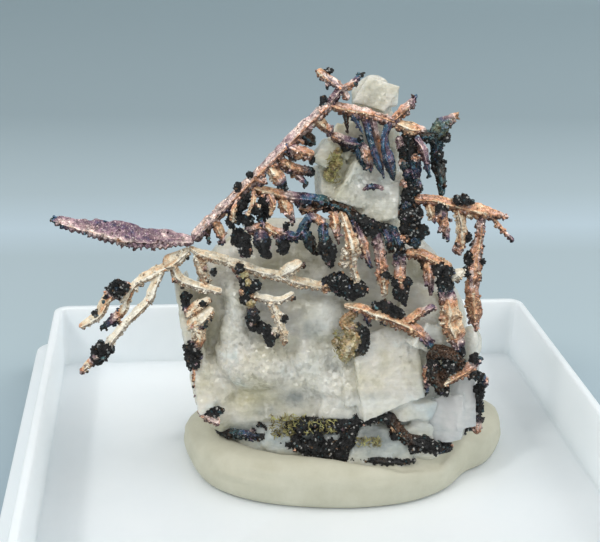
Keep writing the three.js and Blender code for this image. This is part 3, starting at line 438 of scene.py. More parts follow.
BRANCHES["silver_inner_arm"] = [
    arm([(33.1, 13.5, 1.6), (34.8, 14.2, 1.9), (36.4, 14.4, 2.0)], (0.9, 1.1, 0.9),
        tone=(0.26, 0.5, 0.76)),
    arm([(36.2, 14.3, 2.0), (36.8, 15.6, 1.6), (37.1, 17.3, 1.5)], (0.9, 1.0, 0.2),
        tone=(0.56, 0.25, 0.66)),
    arm([(35.7, 14.5, 2.0), (36.1, 15.8, 1.7), (36.7, 17.1, 1.6)], (0.6, 0.7, 0.3), tone=0.66),
    arm([(36.3, 18.9, 1.6), (37.2, 18.6, 1.5), (38.4, 18.8, 1.6)], (0.3, 0.55, 0.3),
        tone=(0.5, 0.6, 0.4), side=(9, 0)),
    lumps((34.6, 14.8, 2.1, 0.42), (35.7, 14.8, 2.1, 0.4), (36.0, 13.9, 1.8, 0.3)),
    lumps((33.5, 16.4, 1.9, 0.5), (33.0, 17.6, 2.0, 0.45), (33.8, 15.2, 2.0, 0.4), tone=0.16, crust=0.2,
          moss=0.8),
    fibres(33.4, 16.8, 1.5, 0.6, 1.5, 60),
]
print("upper fan:", list(BRANCHES))

# %% Branches of the middle
BRANCHES["silver_middle_arm"] = [
    arm([(24.8, 18.6, 1.2), (27.5, 19.3, 1.2), (29.0, 19.7, 1.2), (31.0, 19.9, 1.4), (33.0, 20.2, 1.5)],
        (0.9, 1.0, 1.0, 1.2, 1.0), tone=(0.22, 0.2, 0.44, 0.62, 0.71), side=(0.5, 0.6), knobs=0.35),
    arm([(28.2, 19.8, 1.2), (28.8, 21.0, 1.0), (29.5, 22.3, 0.9)], (1.3, 1.2, 0.2),
        tone=(0.22, 0.22, 0.56)),
    arm([(25.2, 18.9, 1.2), (24.0, 20.2, 1.2), (23.3, 21.6, 1.1), (22.9, 22.6, 1.1)],
        (1.0, 1.2, 1.1, 0.6), tone=0.86, crust=(0.3, 0.6, 0.8, 0.6)),
    arm([(26.3, 19.2, 1.2), (26.6, 20.6, 1.4), (26.8, 21.8, 1.5)], (1.0, 1.1, 0.7), tone=(0.3, 0.8, 0.9),
        crust=(0.1, 0.6, 0.6)),
    arm([(26.9, 19.3, 0.9), (27.3, 20.4, 0.6), (27.0, 21.6, 0.6)], (0.6, 0.7, 0.3),
        tone=(0.34, 0.26, 0.2)),
    arm([(25.4, 19.0, 0.9), (25.3, 20.3, 0.3), (24.7, 21.5, 0.2)], (0.5, 0.5, 0.3),
        tone=(0.3, 0.14, 0.22)),
    arm([(24.0, 19.6, 0.9), (23.4, 21.0, 0.5), (23.3, 22.3, 0.4)], (0.5, 0.5, 0.3),
        tone=(0.36, 0.22, 0.1)),
    arm([(25.9, 21.8, 0.6), (26.4, 22.7, 0.6)], (0.5, 0.5), tone=(0.8, 0.3)),
    arm([(32.6, 20.4, 1.6), (31.0, 20.9, 1.9), (29.9, 20.8, 1.9)], (0.8, 0.8, 0.5), tone=0.3, crust=0.2),
    lumps((24.2, 20.5, 0.9, 0.62), (25.6, 20.9, 0.8, 0.72), (24.8, 22.0, 1.0, 0.58),
          (23.0, 20.8, 1.3, 0.36), (26.4, 20.2, 0.9, 0.45), (23.6, 21.9, 0.9, 0.5),
          (24.9, 19.7, 1.0, 0.42), (26.2, 21.9, 1.1, 0.4)),
]
BRANCHES["silver_left_fringe"] = [
    arm([(24.6, 22.9, 1.0), (26.4, 22.6, 0.9), (27.3, 23.1, 0.9), (28.5, 23.3, 1.0), (29.6, 23.6, 1.1),
         (30.3, 22.9, 1.0), (30.9, 21.9, 0.9), (31.7, 21.9, 1.0), (32.5, 22.3, 1.1)],
        (0.9, 0.9, 0.9, 0.9, 0.9, 0.9, 0.9, 0.8, 0.8),
        tone=(0.44, 0.22, 0.2, 0.5, 0.64, 0.64, 0.62, 0.22, 0.44), side=(0.5, 0.5)),
    arm([(23.6, 22.9, 1.0), (24.3, 24.3, 0.6), (24.9, 25.7, 0.4)], (1.4, 1.7, 0.5), tone=0.87,
        crust=0.8),
    arm([(26.0, 22.8, 0.9), (26.3, 24.4, 0.5), (26.9, 25.8, 0.4)], (1.4, 1.6, 0.4),
        tone=(0.44, 0.66, 0.94), crust=(0.1, 0.6, 1)),
    arm([(27.9, 23.3, 1.0), (28.3, 24.6, 0.8), (28.5, 25.4, 0.8)], (0.9, 1.1, 0.5),
        tone=(0.25, 0.87, 0.87), crust=(0, 0.8, 1)),
    arm([(28.4, 23.4, 1.0), (28.7, 22.2, 1.2)], (0.6, 0.4), tone=0.87, crust=0.8),
    arm([(30.2, 23.1, 1.0), (31.0, 24.2, 0.8), (31.4, 25.5, 0.9)], (1.1, 1.2, 0.2),
        tone=(0.56, 0.81, 0.76), crust=(0, 0.5, 0)),
    arm([(32.3, 22.2, 1.1), (32.4, 23.6, 0.7), (32.8, 25.1, 0.5), (33.1, 26.4, 0.7)],
        (0.9, 1.1, 1.7, 0.8), tone=(0.66, 0.66, 0.94, 1), crust=(0, 0.1, 1, 1)),
    lumps((24.6, 24.9, 0.4, 0.55), (32.8, 25.3, 0.5, 0.75)),
]
BRANCHES["silver_right_fringe"] = [
    arm([(33.0, 20.3, 1.6), (34.5, 20.9, 1.7), (35.3, 21.6, 1.7), (36.6, 22.3, 1.7), (38.2, 22.8, 1.8),
         (39.8, 23.2, 1.9)], (0.9, 1.1, 1.1, 1.1, 1.0, 0.8), tone=(0.76, 0.76, 0.81, 0.94, 0.76, 0.66),
        crust=(0.2, 0.2, 0.4, 0.9, 0.6, 0.2), side=(0.5, 0.5)),
    arm([(33.2, 20.5, 1.6), (33.6, 22.8, 1.2), (33.9, 24.5, 1.2)], (0.8, 0.85, 0.15),
        tone=(0.25, 0.23, 0.44)),
    arm([(34.1, 21.0, 1.6), (34.8, 22.8, 1.1), (35.2, 24.6, 0.7), (35.3, 26.6, 0.8), (35.8, 28.3, 1.0)],
        (0.9, 0.9, 1.4, 0.8, 0.6), tone=(0.16, 0.11, 0.11, 0.11, 0.11)),
    arm([(35.3, 21.6, 1.6), (35.9, 23.3, 1.3), (36.5, 25.0, 1.2), (37.1, 26.9, 1.2)],
        (0.8, 0.95, 0.9, 0.2), tone=(0.66, 0.44, 0.26, 0.81)),
    arm([(37.6, 22.7, 1.7), (38.0, 25.2, 1.3), (38.3, 27.6, 1.2), (38.5, 29.6, 1.3)],
        (0.9, 1.0, 1.2, 0.6), tone=(0.56, 0.33, 0.23, 0.1)),
    arm([(38.4, 22.8, 1.8), (38.9, 24.0, 1.4), (39.3, 25.3, 1.4)], (0.9, 0.9, 0.4),
        tone=(0.62, 0.64, 0.87)),
    arm([(39.2, 23.0, 1.9), (39.8, 24.0, 1.5), (40.2, 25.3, 1.5)], (0.9, 0.9, 0.9),
        tone=(0.58, 0.66, 0.94), crust=(0, 0.2, 1)),
    arm([(40.0, 25.0, 1.5), (40.0, 27.4, 1.2), (40.1, 30.1, 1.2)], (1.2, 1.2, 1.0),
        tone=(0.66, 0.26, 0.44), crust=(0.6, 0, 0.6)),
    lumps((37.2, 22.8, 1.3, 0.85), (36.5, 22.3, 1.2, 0.6), (39.6, 28.3, 1.1, 0.5),
          (40.6, 28.2, 1.1, 0.5), (40.3, 29.3, 1.0, 0.65), (39.8, 29.0, 1.1, 0.5),
          (38.6, 27.5, 1.0, 0.45)),
    lumps((34.6, 25.4, 0.8, 0.6), (35.6, 25.2, 0.8, 0.5), (34.4, 26.4, 0.9, 0.4), tone=0.08, crust=0.25),
]
BRANCHES["silver_column"] = [
    arm([(40.7, 13.1, 1.9), (40.9, 15.2, 2.0), (41.2, 17.4, 2.1), (41.1, 19.3, 2.2), (41.0, 21.2, 2.2),
         (41.3, 23.2, 2.1), (41.2, 24.6, 2.0)], (1.3, 1.8, 1.6, 1.5, 1.9, 1.9, 1.1),
        tone=(0.81, 0.76, 0.56, 0.94, 1, 1, 1), crust=(0.4, 0.5, 0.2, 0.9, 1, 1, 0.8)),
    arm([(41.3, 13.6, 2.0), (42.3, 14.9, 1.8), (43.0, 17.8, 1.6)], (0.8, 0.9, 0.2),
        tone=(0.56, 0.44, 0.66)),
    arm([(39.9, 13.6, 1.8), (40.3, 15.2, 1.5)], (0.9, 0.9), tone=0.44, crust=0.3),
    arm([(40.1, 15.9, 1.7), (40.9, 17.4, 1.4)], (1.0, 0.6), tone=(0.23, 0.56)),
    lumps((40.2, 15.0, 1.6, 0.5), (40.9, 21.4, 1.7, 0.85), (41.9, 23.1, 1.7, 0.8),
          (41.3, 18.9, 1.8, 0.75), (40.7, 22.6, 1.7, 0.6), (41.7, 21.4, 1.7, 0.6),
          (41.0, 20.0, 1.9, 0.5)),
    lumps((40.6, 16.6, 1.4, 0.4), (41.7, 18.2, 1.4, 0.35), (40.6, 20.6, 1.4, 0.4),
          (41.6, 24.2, 1.3, 0.4), tone=0.68, crust=0.3),
    lumps((41.5, 15.8, 1.4, 0.3), (40.4, 18.4, 1.5, 0.3), (40.5, 23.9, 1.4, 0.35), tone=0.26, crust=0.2),
]
BRANCHES["silver_feather"] = [
    arm([(42.0, 13.7, 2.4), (43.4, 13.8, 2.9), (43.6, 15.2, 3.1), (43.8, 16.6, 3.2)],
        (0.8, 1.3, 1.2, 1.1), tone=(0.81, 0.71, 0.68, 0.81), crust=(0.3, 0.4, 0.3, 0.6)),
    arm([(43.2, 13.9, 2.9), (44.2, 12.7, 2.8), (45.0, 12.0, 2.8), (45.9, 11.2, 2.9)],
        (1.2, 1.6, 1.1, 0.1), thick=0.4, tone=(0.74, 0.66, 0.5, 0.1), crust=(0.3, 0.1, 0, 0), moss=0.3),
    arm([(43.8, 16.2, 3.2), (44.1, 17.9, 3.0), (44.2, 19.6, 2.8)], (1.4, 1.1, 0.6),
        tone=(0.81, 0.76, 0.66), crust=(0.5, 0.3, 0.1)),
    lumps((44.5, 13.7, 3.0, 0.5), (43.9, 15.5, 2.8, 0.5)),
]
print("and the middle:", len(BRANCHES), "branches so far")

# %% Branches of the right side
BRANCHES["silver_right_arm"] = [
    arm([(41.2, 19.9, 1.9), (43.5, 20.0, 2.0), (45.0, 20.4, 2.2), (47.5, 21.0, 2.5), (49.0, 21.3, 2.7),
         (50.9, 21.7, 3.0)], (1.0, 1.1, 1.3, 1.6, 1.2, 0.25), tone=(0.28, 0.22, 0.2, 0.19, 0.26, 0.3),
        side=(0.6, 0.3), knobs=0.3),
    arm([(42.9, 20.3, 2.0), (43.2, 21.5, 1.7), (43.5, 22.4, 1.6)], (0.8, 0.85, 0.15),
        tone=(0.2, 0.16, 0.66)),
    arm([(44.0, 20.3, 2.1), (44.3, 22.0, 1.6), (44.9, 24.2, 1.5)], (1.4, 1.5, 0.2),
        tone=(0.94, 0.23, 0.58), crust=(1, 0.1, 0)),
    arm([(45.8, 20.8, 2.3), (46.1, 22.3, 2.1), (46.1, 24.0, 2.0), (45.6, 25.4, 2.1)],
        (1.0, 1.0, 1.2, 0.9), tone=(0.2, 0.13, 0.16, 0.5)),
    arm([(48.2, 21.4, 2.6), (48.0, 23.5, 2.5), (47.5, 25.8, 2.3), (47.3, 28.5, 2.2), (47.4, 31.2, 2.3),
         (47.7, 33.0, 2.4)], (0.8, 1.0, 1.3, 1.4, 1.4, 0.4), tone=(0.44, 0.29, 0.26, 0.24, 0.25, 0.44)),
    arm([(49.0, 21.4, 2.7), (50.2, 22.9, 2.9), (51.4, 24.1, 3.2)], (0.5, 0.45, 0.3),
        tone=(0.25, 0.25, 0.56)),
    lumps((45.7, 20.0, 2.1, 0.42), (46.5, 20.1, 2.1, 0.45), (47.1, 20.2, 2.2, 0.35),
          (46.8, 23.8, 2.1, 0.4), (46.9, 25.8, 2.3, 0.5), (46.8, 27.2, 2.3, 0.5),
          (48.2, 26.2, 2.3, 0.35), (44.2, 20.9, 1.8, 0.5)),
]
BRANCHES["silver_lower_arm"] = [
    arm([(40.4, 25.4, 1.9), (41.8, 25.3, 1.8), (43.2, 25.9, 1.7), (45.2, 26.9, 1.7)],
        (0.9, 1.1, 1.1, 0.9), tone=(0.25, 0.21, 0.2, 0.2)),
    arm([(42.0, 25.6, 1.8), (42.5, 27.2, 1.6)], (0.8, 0.3), tone=BROWN),
    arm([(42.8, 26.0, 1.7), (42.9, 27.8, 1.4), (43.2, 29.4, 1.3)], (0.8, 1.1, 0.2),
        tone=(0.22, 0.3, 0.56)),
    arm([(44.5, 26.6, 1.7), (44.5, 28.4, 1.5), (44.9, 30.4, 1.3), (45.0, 32.0, 1.2), (45.6, 33.6, 1.2),
         (46.2, 35.6, 1.3)], (1.9, 1.7, 1.8, 2.3, 1.7, 0.8), tone=(0.87, 0.76, 0.18, 0.12, 0.2, 0.87),
        crust=(0.9, 0.5, 0, 0, 0, 0.9)),
    arm([(45.0, 27.9, 1.6), (45.8, 27.4, 1.8), (46.5, 26.9, 2.1)], (0.8, 1.1, 0.2), tone=CREAM),
    lumps((43.9, 27.0, 1.5, 0.6), (44.7, 27.2, 1.4, 0.65), (44.6, 28.5, 1.2, 0.6)),
]
BRANCHES["silver_cross_arm"] = [
    arm([(34.4, 30.5, 1.2), (36.0, 30.8, 0.9), (37.6, 31.4, 0.9), (39.2, 31.9, 1.0), (40.7, 32.5, 1.0),
         (42.2, 33.4, 0.9), (43.2, 34.8, 0.8)], (0.5, 1.1, 1.1, 1.2, 1.2, 1.0, 0.8),
        tone=(0.12, 0.16, 0.13, 0.2, 0.23, 0.3, 0.76), side=(0.6, 0.35), knobs=0.3),
    arm([(40.6, 32.3, 1.0), (41.9, 31.3, 0.9), (43.5, 30.6, 0.9)], (0.9, 1.0, 0.6),
        tone=(0.2, 0.2, 0.56)),
    arm([(36.4, 30.9, 1.0), (37.0, 32.3, 1.1)], (0.9, 0.5), tone=0.56),
    arm([(38.0, 31.6, 1.0), (38.6, 32.6, 1.0)], (0.8, 0.3), tone=0.66),
    arm([(37.2, 30.6, 1.0), (38.3, 30.6, 1.0), (39.4, 31.1, 1.0), (40.4, 31.6, 1.0)],
        (0.5, 0.9, 1.0, 0.6), thick=0.7, tone=BLACK, crust=1.0, side=(9, 0)),
]
BRANCHES["silver_tangle"] = [
    arm([(43.0, 34.9, 0.8), (44.2, 35.3, 0.6), (45.4, 35.9, 0.8), (46.2, 36.8, 0.9)],
        (0.9, 1.5, 1.5, 1.0), tone=(0.84, 0.86, 0.84, 0.9), crust=(0.15, 0.15, 0.3, 0.8)),
    arm([(43.2, 35.0, 0.8), (43.3, 36.7, 0.6), (44.0, 38.2, 0.5), (44.6, 39.4, 0.7)],
        (1.3, 1.5, 1.7, 1.1), tone=(0.84, 0.87, 0.84, 0.87), crust=(0.15, 0.5, 0.15, 0.5)),
    arm([(43.6, 38.8, 0.6), (45.2, 37.9, 0.5), (46.8, 36.9, 0.7), (48.2, 35.7, 1.1)],
        (0.9, 0.9, 1.0, 0.5), tone=(0.2, 0.16, 0.2, 0.66)),
    arm([(42.8, 36.4, 0.8), (42.5, 37.4, 1.0), (42.8, 39.4, 1.2)], (0.6, 0.5, 0.3),
        tone=(0.44, 0.25, 0.76)),
    lumps((45.0, 36.6, 0.6, 0.6), (43.3, 36.2, 0.6, 0.55), (47.4, 35.9, 0.9, 0.45),
          (44.5, 39.1, 0.5, 0.5)),
    lumps((44.4, 37.3, 0.6, 0.65), (43.8, 35.4, 0.6, 0.5), (45.9, 36.4, 0.8, 0.5), tone=0.84,
          crust=0.15),
]
BRANCHES["silver_right_edge"] = [
    arm([(46.9, 37.4, 1.6), (47.9, 37.6, 2.2), (48.6, 37.9, 2.6)], (0.6, 0.8, 0.8),
        tone=(0.94, 0.87, 0.44), crust=(1, 0.6, 0)),
    arm([(48.6, 37.7, 2.6), (47.9, 38.9, 2.8), (47.7, 40.6, 3.0), (47.6, 42.2, 3.0), (47.7, 43.4, 3.0)],
        (0.8, 1.1, 1.2, 1.1, 0.8), tone=(0.25, 0.87, 0.94, 0.44, 0.22), crust=(0, 0.8, 0.9, 0.3, 0)),
    arm([(47.4, 41.3, 3.0), (46.9, 42.3, 2.9), (46.3, 43.5, 2.8)], (0.8, 0.8, 0.2), tone=BLACK,
        crust=0.8),
]
print("and the right side:", len(BRANCHES), "branches so far")

# %% Branches of the left side and the foot
BRANCHES["silver_spine"] = [
    arm([(18.9, 24.7, 1.9), (20.0, 25.3, 1.8), (22.0, 25.9, 1.7), (24.0, 26.5, 1.6), (26.0, 27.1, 1.5),
         (27.8, 27.5, 1.4), (30.0, 28.2, 1.4), (32.5, 28.7, 1.5)],
        (0.5, 0.8, 1.0, 1.0, 1.0, 1.0, 1.1, 1.0), tone=(0.09, 0.11, 0.09, 0.07, 0.07, 0.06, 0.09, 0.1),
        side=(0.9, 0.2), knobs=0.35),
    arm([(27.9, 27.6, 1.4), (29.0, 26.9, 1.0), (30.2, 26.2, 0.9)], (0.8, 1.4, 1.0),
        tone=(0.05, 0.04, 0.08), side=(0.9, 0.1), knobs=0.25),
    arm([(19.0, 24.9, 1.9), (17.5, 26.0, 1.7), (16.4, 26.7, 1.6)], (0.6, 1.4, 1.2),
        tone=(0.06, 0.12, 0.14), knobs=0.3),
    arm([(17.2, 26.4, 1.7), (17.8, 27.6, 2.0), (18.6, 28.2, 2.1), (20.2, 28.7, 2.0), (22.2, 29.2, 1.7)],
        (0.9, 1.1, 1.0, 1.0, 0.7), tone=(0.07, 0.08, 0.06, 0.05, 0.07), knobs=0.2),
    arm([(19.6, 25.3, 1.9), (20.3, 27.0, 2.2), (20.7, 28.6, 2.2)], (0.8, 1.3, 0.9),
        tone=(0.06, 0.09, 0.14), side=(0.9, 0.25), knobs=0.4),
    arm([(23.7, 26.6, 1.6), (24.4, 28.0, 1.4), (24.9, 29.8, 1.2)], (1.0, 1.2, 1.2),
        tone=(0.15, 0.44, 0.87), crust=(0.2, 0.5, 1)),
    arm([(24.9, 29.4, 1.2), (26.4, 29.8, 1.1), (28.0, 30.0, 1.0), (29.4, 29.3, 1.0)],
        (0.8, 0.9, 0.8, 0.6), tone=(0.15, 0.06, 0.04, 0.06), knobs=0.4),
    arm([(27.2, 30.0, 1.0), (27.6, 31.4, 0.9), (28.3, 33.1, 0.8), (28.4, 34.6, 0.8)],
        (0.8, 0.9, 0.8, 0.3), tone=(0.07, 0.09, 0.1, 0.14), knobs=0.8),
    arm([(32.2, 28.7, 1.5), (33.6, 28.3, 1.3), (35.4, 28.9, 1.3), (35.9, 29.6, 1.3)],
        (1.2, 1.7, 1.9, 1.2), tone=(0.5, 1, 1, 1), crust=(0.3, 1, 1, 1)),
    lumps((25.4, 28.6, 1.0, 0.8), (33.5, 28.3, 1.0, 0.8), (35.7, 28.7, 1.2, 0.9), (24.6, 29.9, 1.1, 0.6),
          (24.0, 27.0, 1.3, 0.5), (34.3, 28.1, 1.0, 0.6), (35.1, 29.4, 1.1, 0.6),
          (21.3, 27.2, 1.9, 0.35), (30.2, 26.6, 1.2, 0.4)),
    lumps((24.2, 29.3, 1.2, 0.35), (32.6, 28.9, 1.1, 0.35), tone=COPPER, crust=0.0),
    lumps((24.4, 27.5, 1.1, 0.35), (25.0, 30.3, 0.8, 0.35), (24.9, 28.2, 0.5, 0.3), tone=0.14, crust=0.2,
          moss=0.6),
]
BRANCHES["silver_fingers"] = [
    arm([(16.9, 26.5, 1.7), (15.0, 27.5, 1.5), (13.5, 28.4, 1.4), (12.7, 29.7, 1.3), (12.4, 30.9, 1.2),
         (11.2, 32.0, 1.1), (10.0, 32.9, 1.1)], (0.9, 1.0, 0.8, 0.9, 0.9, 0.9, 0.3),
        tone=(0.05, 0.06, 0.06, 0.08, 0.1, 0.5, 0.87), crust=(0, 0, 0, 0, 0, 0.2, 0.6), knobs=0.25),
    arm([(13.2, 28.6, 1.4), (11.8, 28.9, 1.2), (10.9, 29.7, 1.0), (9.9, 31.3, 0.9), (8.8, 32.2, 0.9),
         (7.9, 32.7, 1.0)], (0.8, 1.4, 1.2, 1.1, 0.8, 0.3), tone=(0.1, 0.87, 0.2, 0.1, 0.08, 0.12),
        crust=(0, 1, 0.2, 0.1, 0, 0), knobs=0.25),
    arm([(16.2, 26.9, 1.6), (15.4, 28.6, 1.2), (14.8, 30.0, 0.9), (13.0, 31.8, 0.6), (11.5, 33.5, 0.4),
         (10.4, 35.0, 0.3)], (0.9, 0.9, 0.9, 0.9, 0.9, 0.9), tone=(0.05, 0.06, 0.05, 0.05, 0.04, 0.12),
        knobs=0.25),
    arm([(10.6, 34.8, 0.3), (9.6, 35.8, 0.2), (8.7, 36.5, 0.2), (8.0, 37.4, 0.2)], (1.2, 1.3, 0.8, 0.25),
        tone=(1, 0.76, 0.1, 0.5), crust=(1, 0.7, 0, 0)),
    lumps((11.5, 28.8, 1.1, 0.85), (12.2, 28.7, 1.1, 0.6), (10.0, 35.1, 0.2, 0.95),
          (10.8, 34.9, 0.2, 0.65), (9.7, 31.4, 0.9, 0.4)),
]
BRANCHES["silver_edge_cluster"] = [
    arm([(21.0, 29.8, 1.9), (19.8, 30.7, 2.0), (18.6, 31.6, 2.2)], (0.6, 1.2, 0.9),
        tone=(0.09, 0.1, 0.14), side=(0.9, 0.2), knobs=0.4),
    arm([(21.3, 30.8, 1.7), (20.2, 31.8, 1.9), (18.8, 32.8, 2.2)], (0.7, 1.7, 1.0),
        tone=(0.07, 0.08, 0.12), side=(0.9, 0.2), knobs=0.4),
    arm([(20.9, 31.4, 1.6), (20.5, 32.2, 1.6), (19.9, 32.8, 1.8)], (0.5, 0.9, 0.5), tone=(0.2, 0.8, 0.3),
        crust=(0, 0.4, 0), side=(9, 0)),
    arm([(20.6, 30.2, 1.7), (20.0, 30.6, 1.7)], (0.5, 0.6), tone=0.95, crust=0.8, side=(9, 0)),
    arm([(19.0, 31.5, 2.2), (18.6, 30.5, 2.4), (18.6, 29.2, 2.6)], (0.8, 0.8, 0.9), tone=(0.1, 0.66, 1),
        crust=(0, 0.5, 1)),
    arm([(19.6, 32.2, 2.0), (19.9, 33.6, 1.9), (19.3, 34.9, 2.1), (19.1, 36.7, 2.4)],
        (1.3, 1.5, 1.5, 1.2), tone=(0.1, 0.12, 0.5, 1), crust=(0, 0.1, 0.7, 1)),
    arm([(19.4, 36.4, 2.2), (19.6, 38.4, 1.9), (20.0, 40.9, 1.6)], (0.6, 0.4, 0.35),
        tone=(0.3, 0.22, 0.3)),
    lumps((18.8, 34.8, 2.2, 0.4), (19.5, 36.4, 2.0, 0.45), (19.0, 35.6, 2.1, 0.45)),
]
BRANCHES["silver_centre_lumps"] = [
    arm([(25.3, 30.6, 1.0), (25.3, 32.4, 1.0), (26.6, 33.0, 1.0), (27.3, 34.2, 0.9)],
        (1.1, 1.1, 1.1, 1.2), tone=(0.44, 0.8, 0.8, 0.8), crust=(0.4, 0.6, 0.6, 0.6), moss=0.25),
    arm([(26.8, 33.0, 1.0), (28.0, 33.2, 1.0), (28.6, 34.2, 1.0)], (0.7, 0.7, 0.4),
        tone=(0.08, 0.08, 0.3)),
    lumps((25.2, 31.9, 0.9, 0.55), (27.0, 33.9, 0.8, 0.6), (26.7, 33.0, 0.8, 0.55),
          (28.5, 31.9, 0.9, 0.45)),
]
BRANCHES["silver_fern"] = [
    arm([(35.6, 31.2, 1.3), (34.4, 32.2, 1.1), (35.3, 33.3, 0.8), (34.6, 34.9, 0.7), (34.2, 36.1, 0.9)],
        (0.8, 1.0, 1.6, 1.8, 0.7), tone=(0.3, 0.2, 0.16, 0.12, 0.1), crust=(0.3, 0.3, 0.1, 0.1, 0.2),
        moss=0.5),
    arm([(34.6, 32.6, 1.0), (36.2, 33.2, 0.9), (36.0, 34.6, 0.9), (35.2, 35.6, 0.9)],
        (0.9, 1.4, 1.5, 0.7), tone=(0.2, 0.8, 0.8, 0.4), crust=(0.1, 0.6, 0.6, 0.2), moss=0.5),
    lumps((33.7, 34.3, 0.9, 0.5), (35.0, 33.4, 0.6, 0.55), (34.8, 34.8, 0.6, 0.6), tone=0.14, crust=0.3,
          moss=0.6),
    lumps((36.2, 34.5, 0.8, 0.5), (36.3, 33.2, 0.8, 0.5)),
    fibres(34.4, 34.4, 0.5, 1.1, 1.3, 60),
]
BRANCHES["base_crust"] = [
    arm([(19.8, 41.0, 1.6), (20.7, 41.7, 1.2), (22.0, 42.2, 1.3)], (0.6, 0.7, 0.8),
        tone=(0.33, 0.32, 0.4)),
    arm([(21.5, 42.6, 3.4), (23.2, 43.1, 2.9), (25.4, 43.4, 2.4), (28.0, 44.0, 1.7), (31.0, 44.7, 0.9),
         (34.5, 45.2, 0.3)], (0.9, 1.3, 1.0, 1.2, 1.5, 1.4), tone=(0.82, 0.8, 0.6, 1, 1, 1),
        crust=(0.6, 0.4, 0.4, 1, 1, 1)),
    arm([(25.0, 43.2, 2.4), (25.9, 42.1, 2.5), (26.8, 43.0, 2.2)], (0.6, 0.8, 0.6),
        tone=(0.3, 0.82, 0.82), crust=(0.2, 0.9, 0.9)),
    arm([(28.6, 43.8, 1.6), (29.5, 42.4, 1.6), (31.6, 42.3, 1.4), (34.6, 42.3, 1.1), (36.6, 41.8, 0.6),
         (38.6, 41.6, 0.5), (39.8, 42.9, 0.6), (41.0, 44.0, 0.6), (43.2, 44.5, 0.8), (45.2, 44.6, 1.3)],
        (1.2, 1.5, 1.6, 1.6, 1.3, 1.2, 1.3, 1.2, 1.5, 0.9),
        tone=(1, 0.86, 0.86, 1, 0.95, 0.84, 0.82, 0.84, 0.86, 1),
        crust=(1, 0.8, 0.9, 1, 0.9, 0.6, 0.1, 0.4, 0.8, 1)),
    arm([(35.2, 42.4, 1.2), (34.8, 43.8, 0.6), (34.0, 45.2, 0.3)], (1.5, 1.5, 1.2), tone=1.0, crust=1.0),
    # this dark bar along the bottom of the foot is black crust in part, and in part a painted shadow
    # where the foot sits in the putty
    arm([(30.5, 45.2, 0.8), (34.0, 45.7, 0.3), (37.0, 46.0, 0.1), (40.0, 46.2, 0.1), (41.6, 46.0, 0.4)],
        (0.9, 0.8, 0.6, 0.5, 0.3), tone=0.9, crust=0.6, moss=0.35, side=(9, 0)),
    arm([(38.7, 42.0, 0.8), (39.4, 42.9, 0.4), (40.4, 43.6, 0.3)], (0.4, 0.5, 0.3),
        tone=(0.2, 0.14, 0.2)),
    lumps((21.4, 41.2, 1.2, 0.62), (31.8, 43.8, 0.8, 0.75), (33.2, 44.6, 0.5, 0.6),
          (41.4, 44.8, 0.6, 0.6), (39.6, 43.5, 0.6, 0.5), (30.3, 42.6, 1.2, 0.7),
          (34.9, 43.4, 0.7, 0.55), (29.6, 43.9, 1.2, 0.6), (43.6, 44.7, 0.7, 0.6),
          (28.0, 43.4, 1.7, 0.45)),
    fibres(28.8, 42.3, 1.0, 1.8, 0.8, 150),
    fibres(28.4, 43.4, 1.0, 1.2, 0.3, 60),
    fibres(31.8, 42.6, 0.6, 1.8, 0.7, 70),
    fibres(36.9, 44.2, 0.25, 1.2, 0.45, 80),
]
print(len(BRANCHES), "branches with", sum(len(branch) for branch in BRANCHES.values()), "arms and lumps")

# %% [markdown]
# ## Helpers for nodes
# Geometry and shader trees are built of the same few moves: add a node, set some inputs and link the
# rest. These helpers find the tree from the sockets they are given, so a sum or a mix reads like one.


# %% Node helpers
def is_socket(value):
    return isinstance(value, bpy.types.NodeSocket)


def wire(value, socket):
    """Links a socket to an input, or sets a plain value on it."""
    if is_socket(value):
        socket.id_data.links.new(value, socket)
    elif socket.type == "RGBA":
        socket.default_value = (*value, 1)[:4]
    else:
        socket.default_value = value


def node(tree, kind, **values):
    """A node with its settings and named inputs."""
    made = tree.nodes.new(kind)
    for key, value in values.items():
        if key in made.inputs:
            wire(value, made.inputs[key])
        else:
            setattr(made, key, value)
    return made


def reckon(operation, a, b, clamp=False):
    """A Math node over sockets or numbers."""
    tree = (a if is_socket(a) else b).id_data
    made = node(tree, "ShaderNodeMath", operation=operation, use_clamp=clamp)
    wire(a, made.inputs[0])
    wire(b, made.inputs[1])
    return made.outputs[0]


def plus(a, b, clamp=False):
    return reckon("ADD", a, b, clamp)


def minus(a, b, clamp=False):
    return reckon("SUBTRACT", a, b, clamp)


def times(a, b, clamp=False):
    return reckon("MULTIPLY", a, b, clamp)


def centred(value):
    """A value between 0 and 1, moved to lie about 0."""
    return minus(value, 0.5)


# %% [markdown]
# ## Crystals and crust in grains
# Bare silver shows small stacked crystals, and the sulphide on it is a coat of tiny black ones. A
# Geometry Nodes tree strews both over each branch, block crystals where it is bare and grains where its
# crust number says so. They are realized and given the material at the end, because an export drops
# instances, and then the whole branch becomes one plain mesh.

# %% Strewn grains
LEAST_GRAIN, LARGEST_GRAIN = 0.45, 1.35  # each side of a grain, as a share of the grain size


def random_value(tree, low, high, seed, kind="FLOAT_VECTOR"):
    made = node(tree, "FunctionNodeRandomValue", data_type=kind, Seed=seed)
    sockets = [socket for socket in made.inputs if socket.enabled]
    for socket, value in zip(sockets, (low, high)):
        socket.default_value = (value,) * 3 if kind == "FLOAT_VECTOR" else value
    return next(socket for socket in made.outputs if socket.enabled)


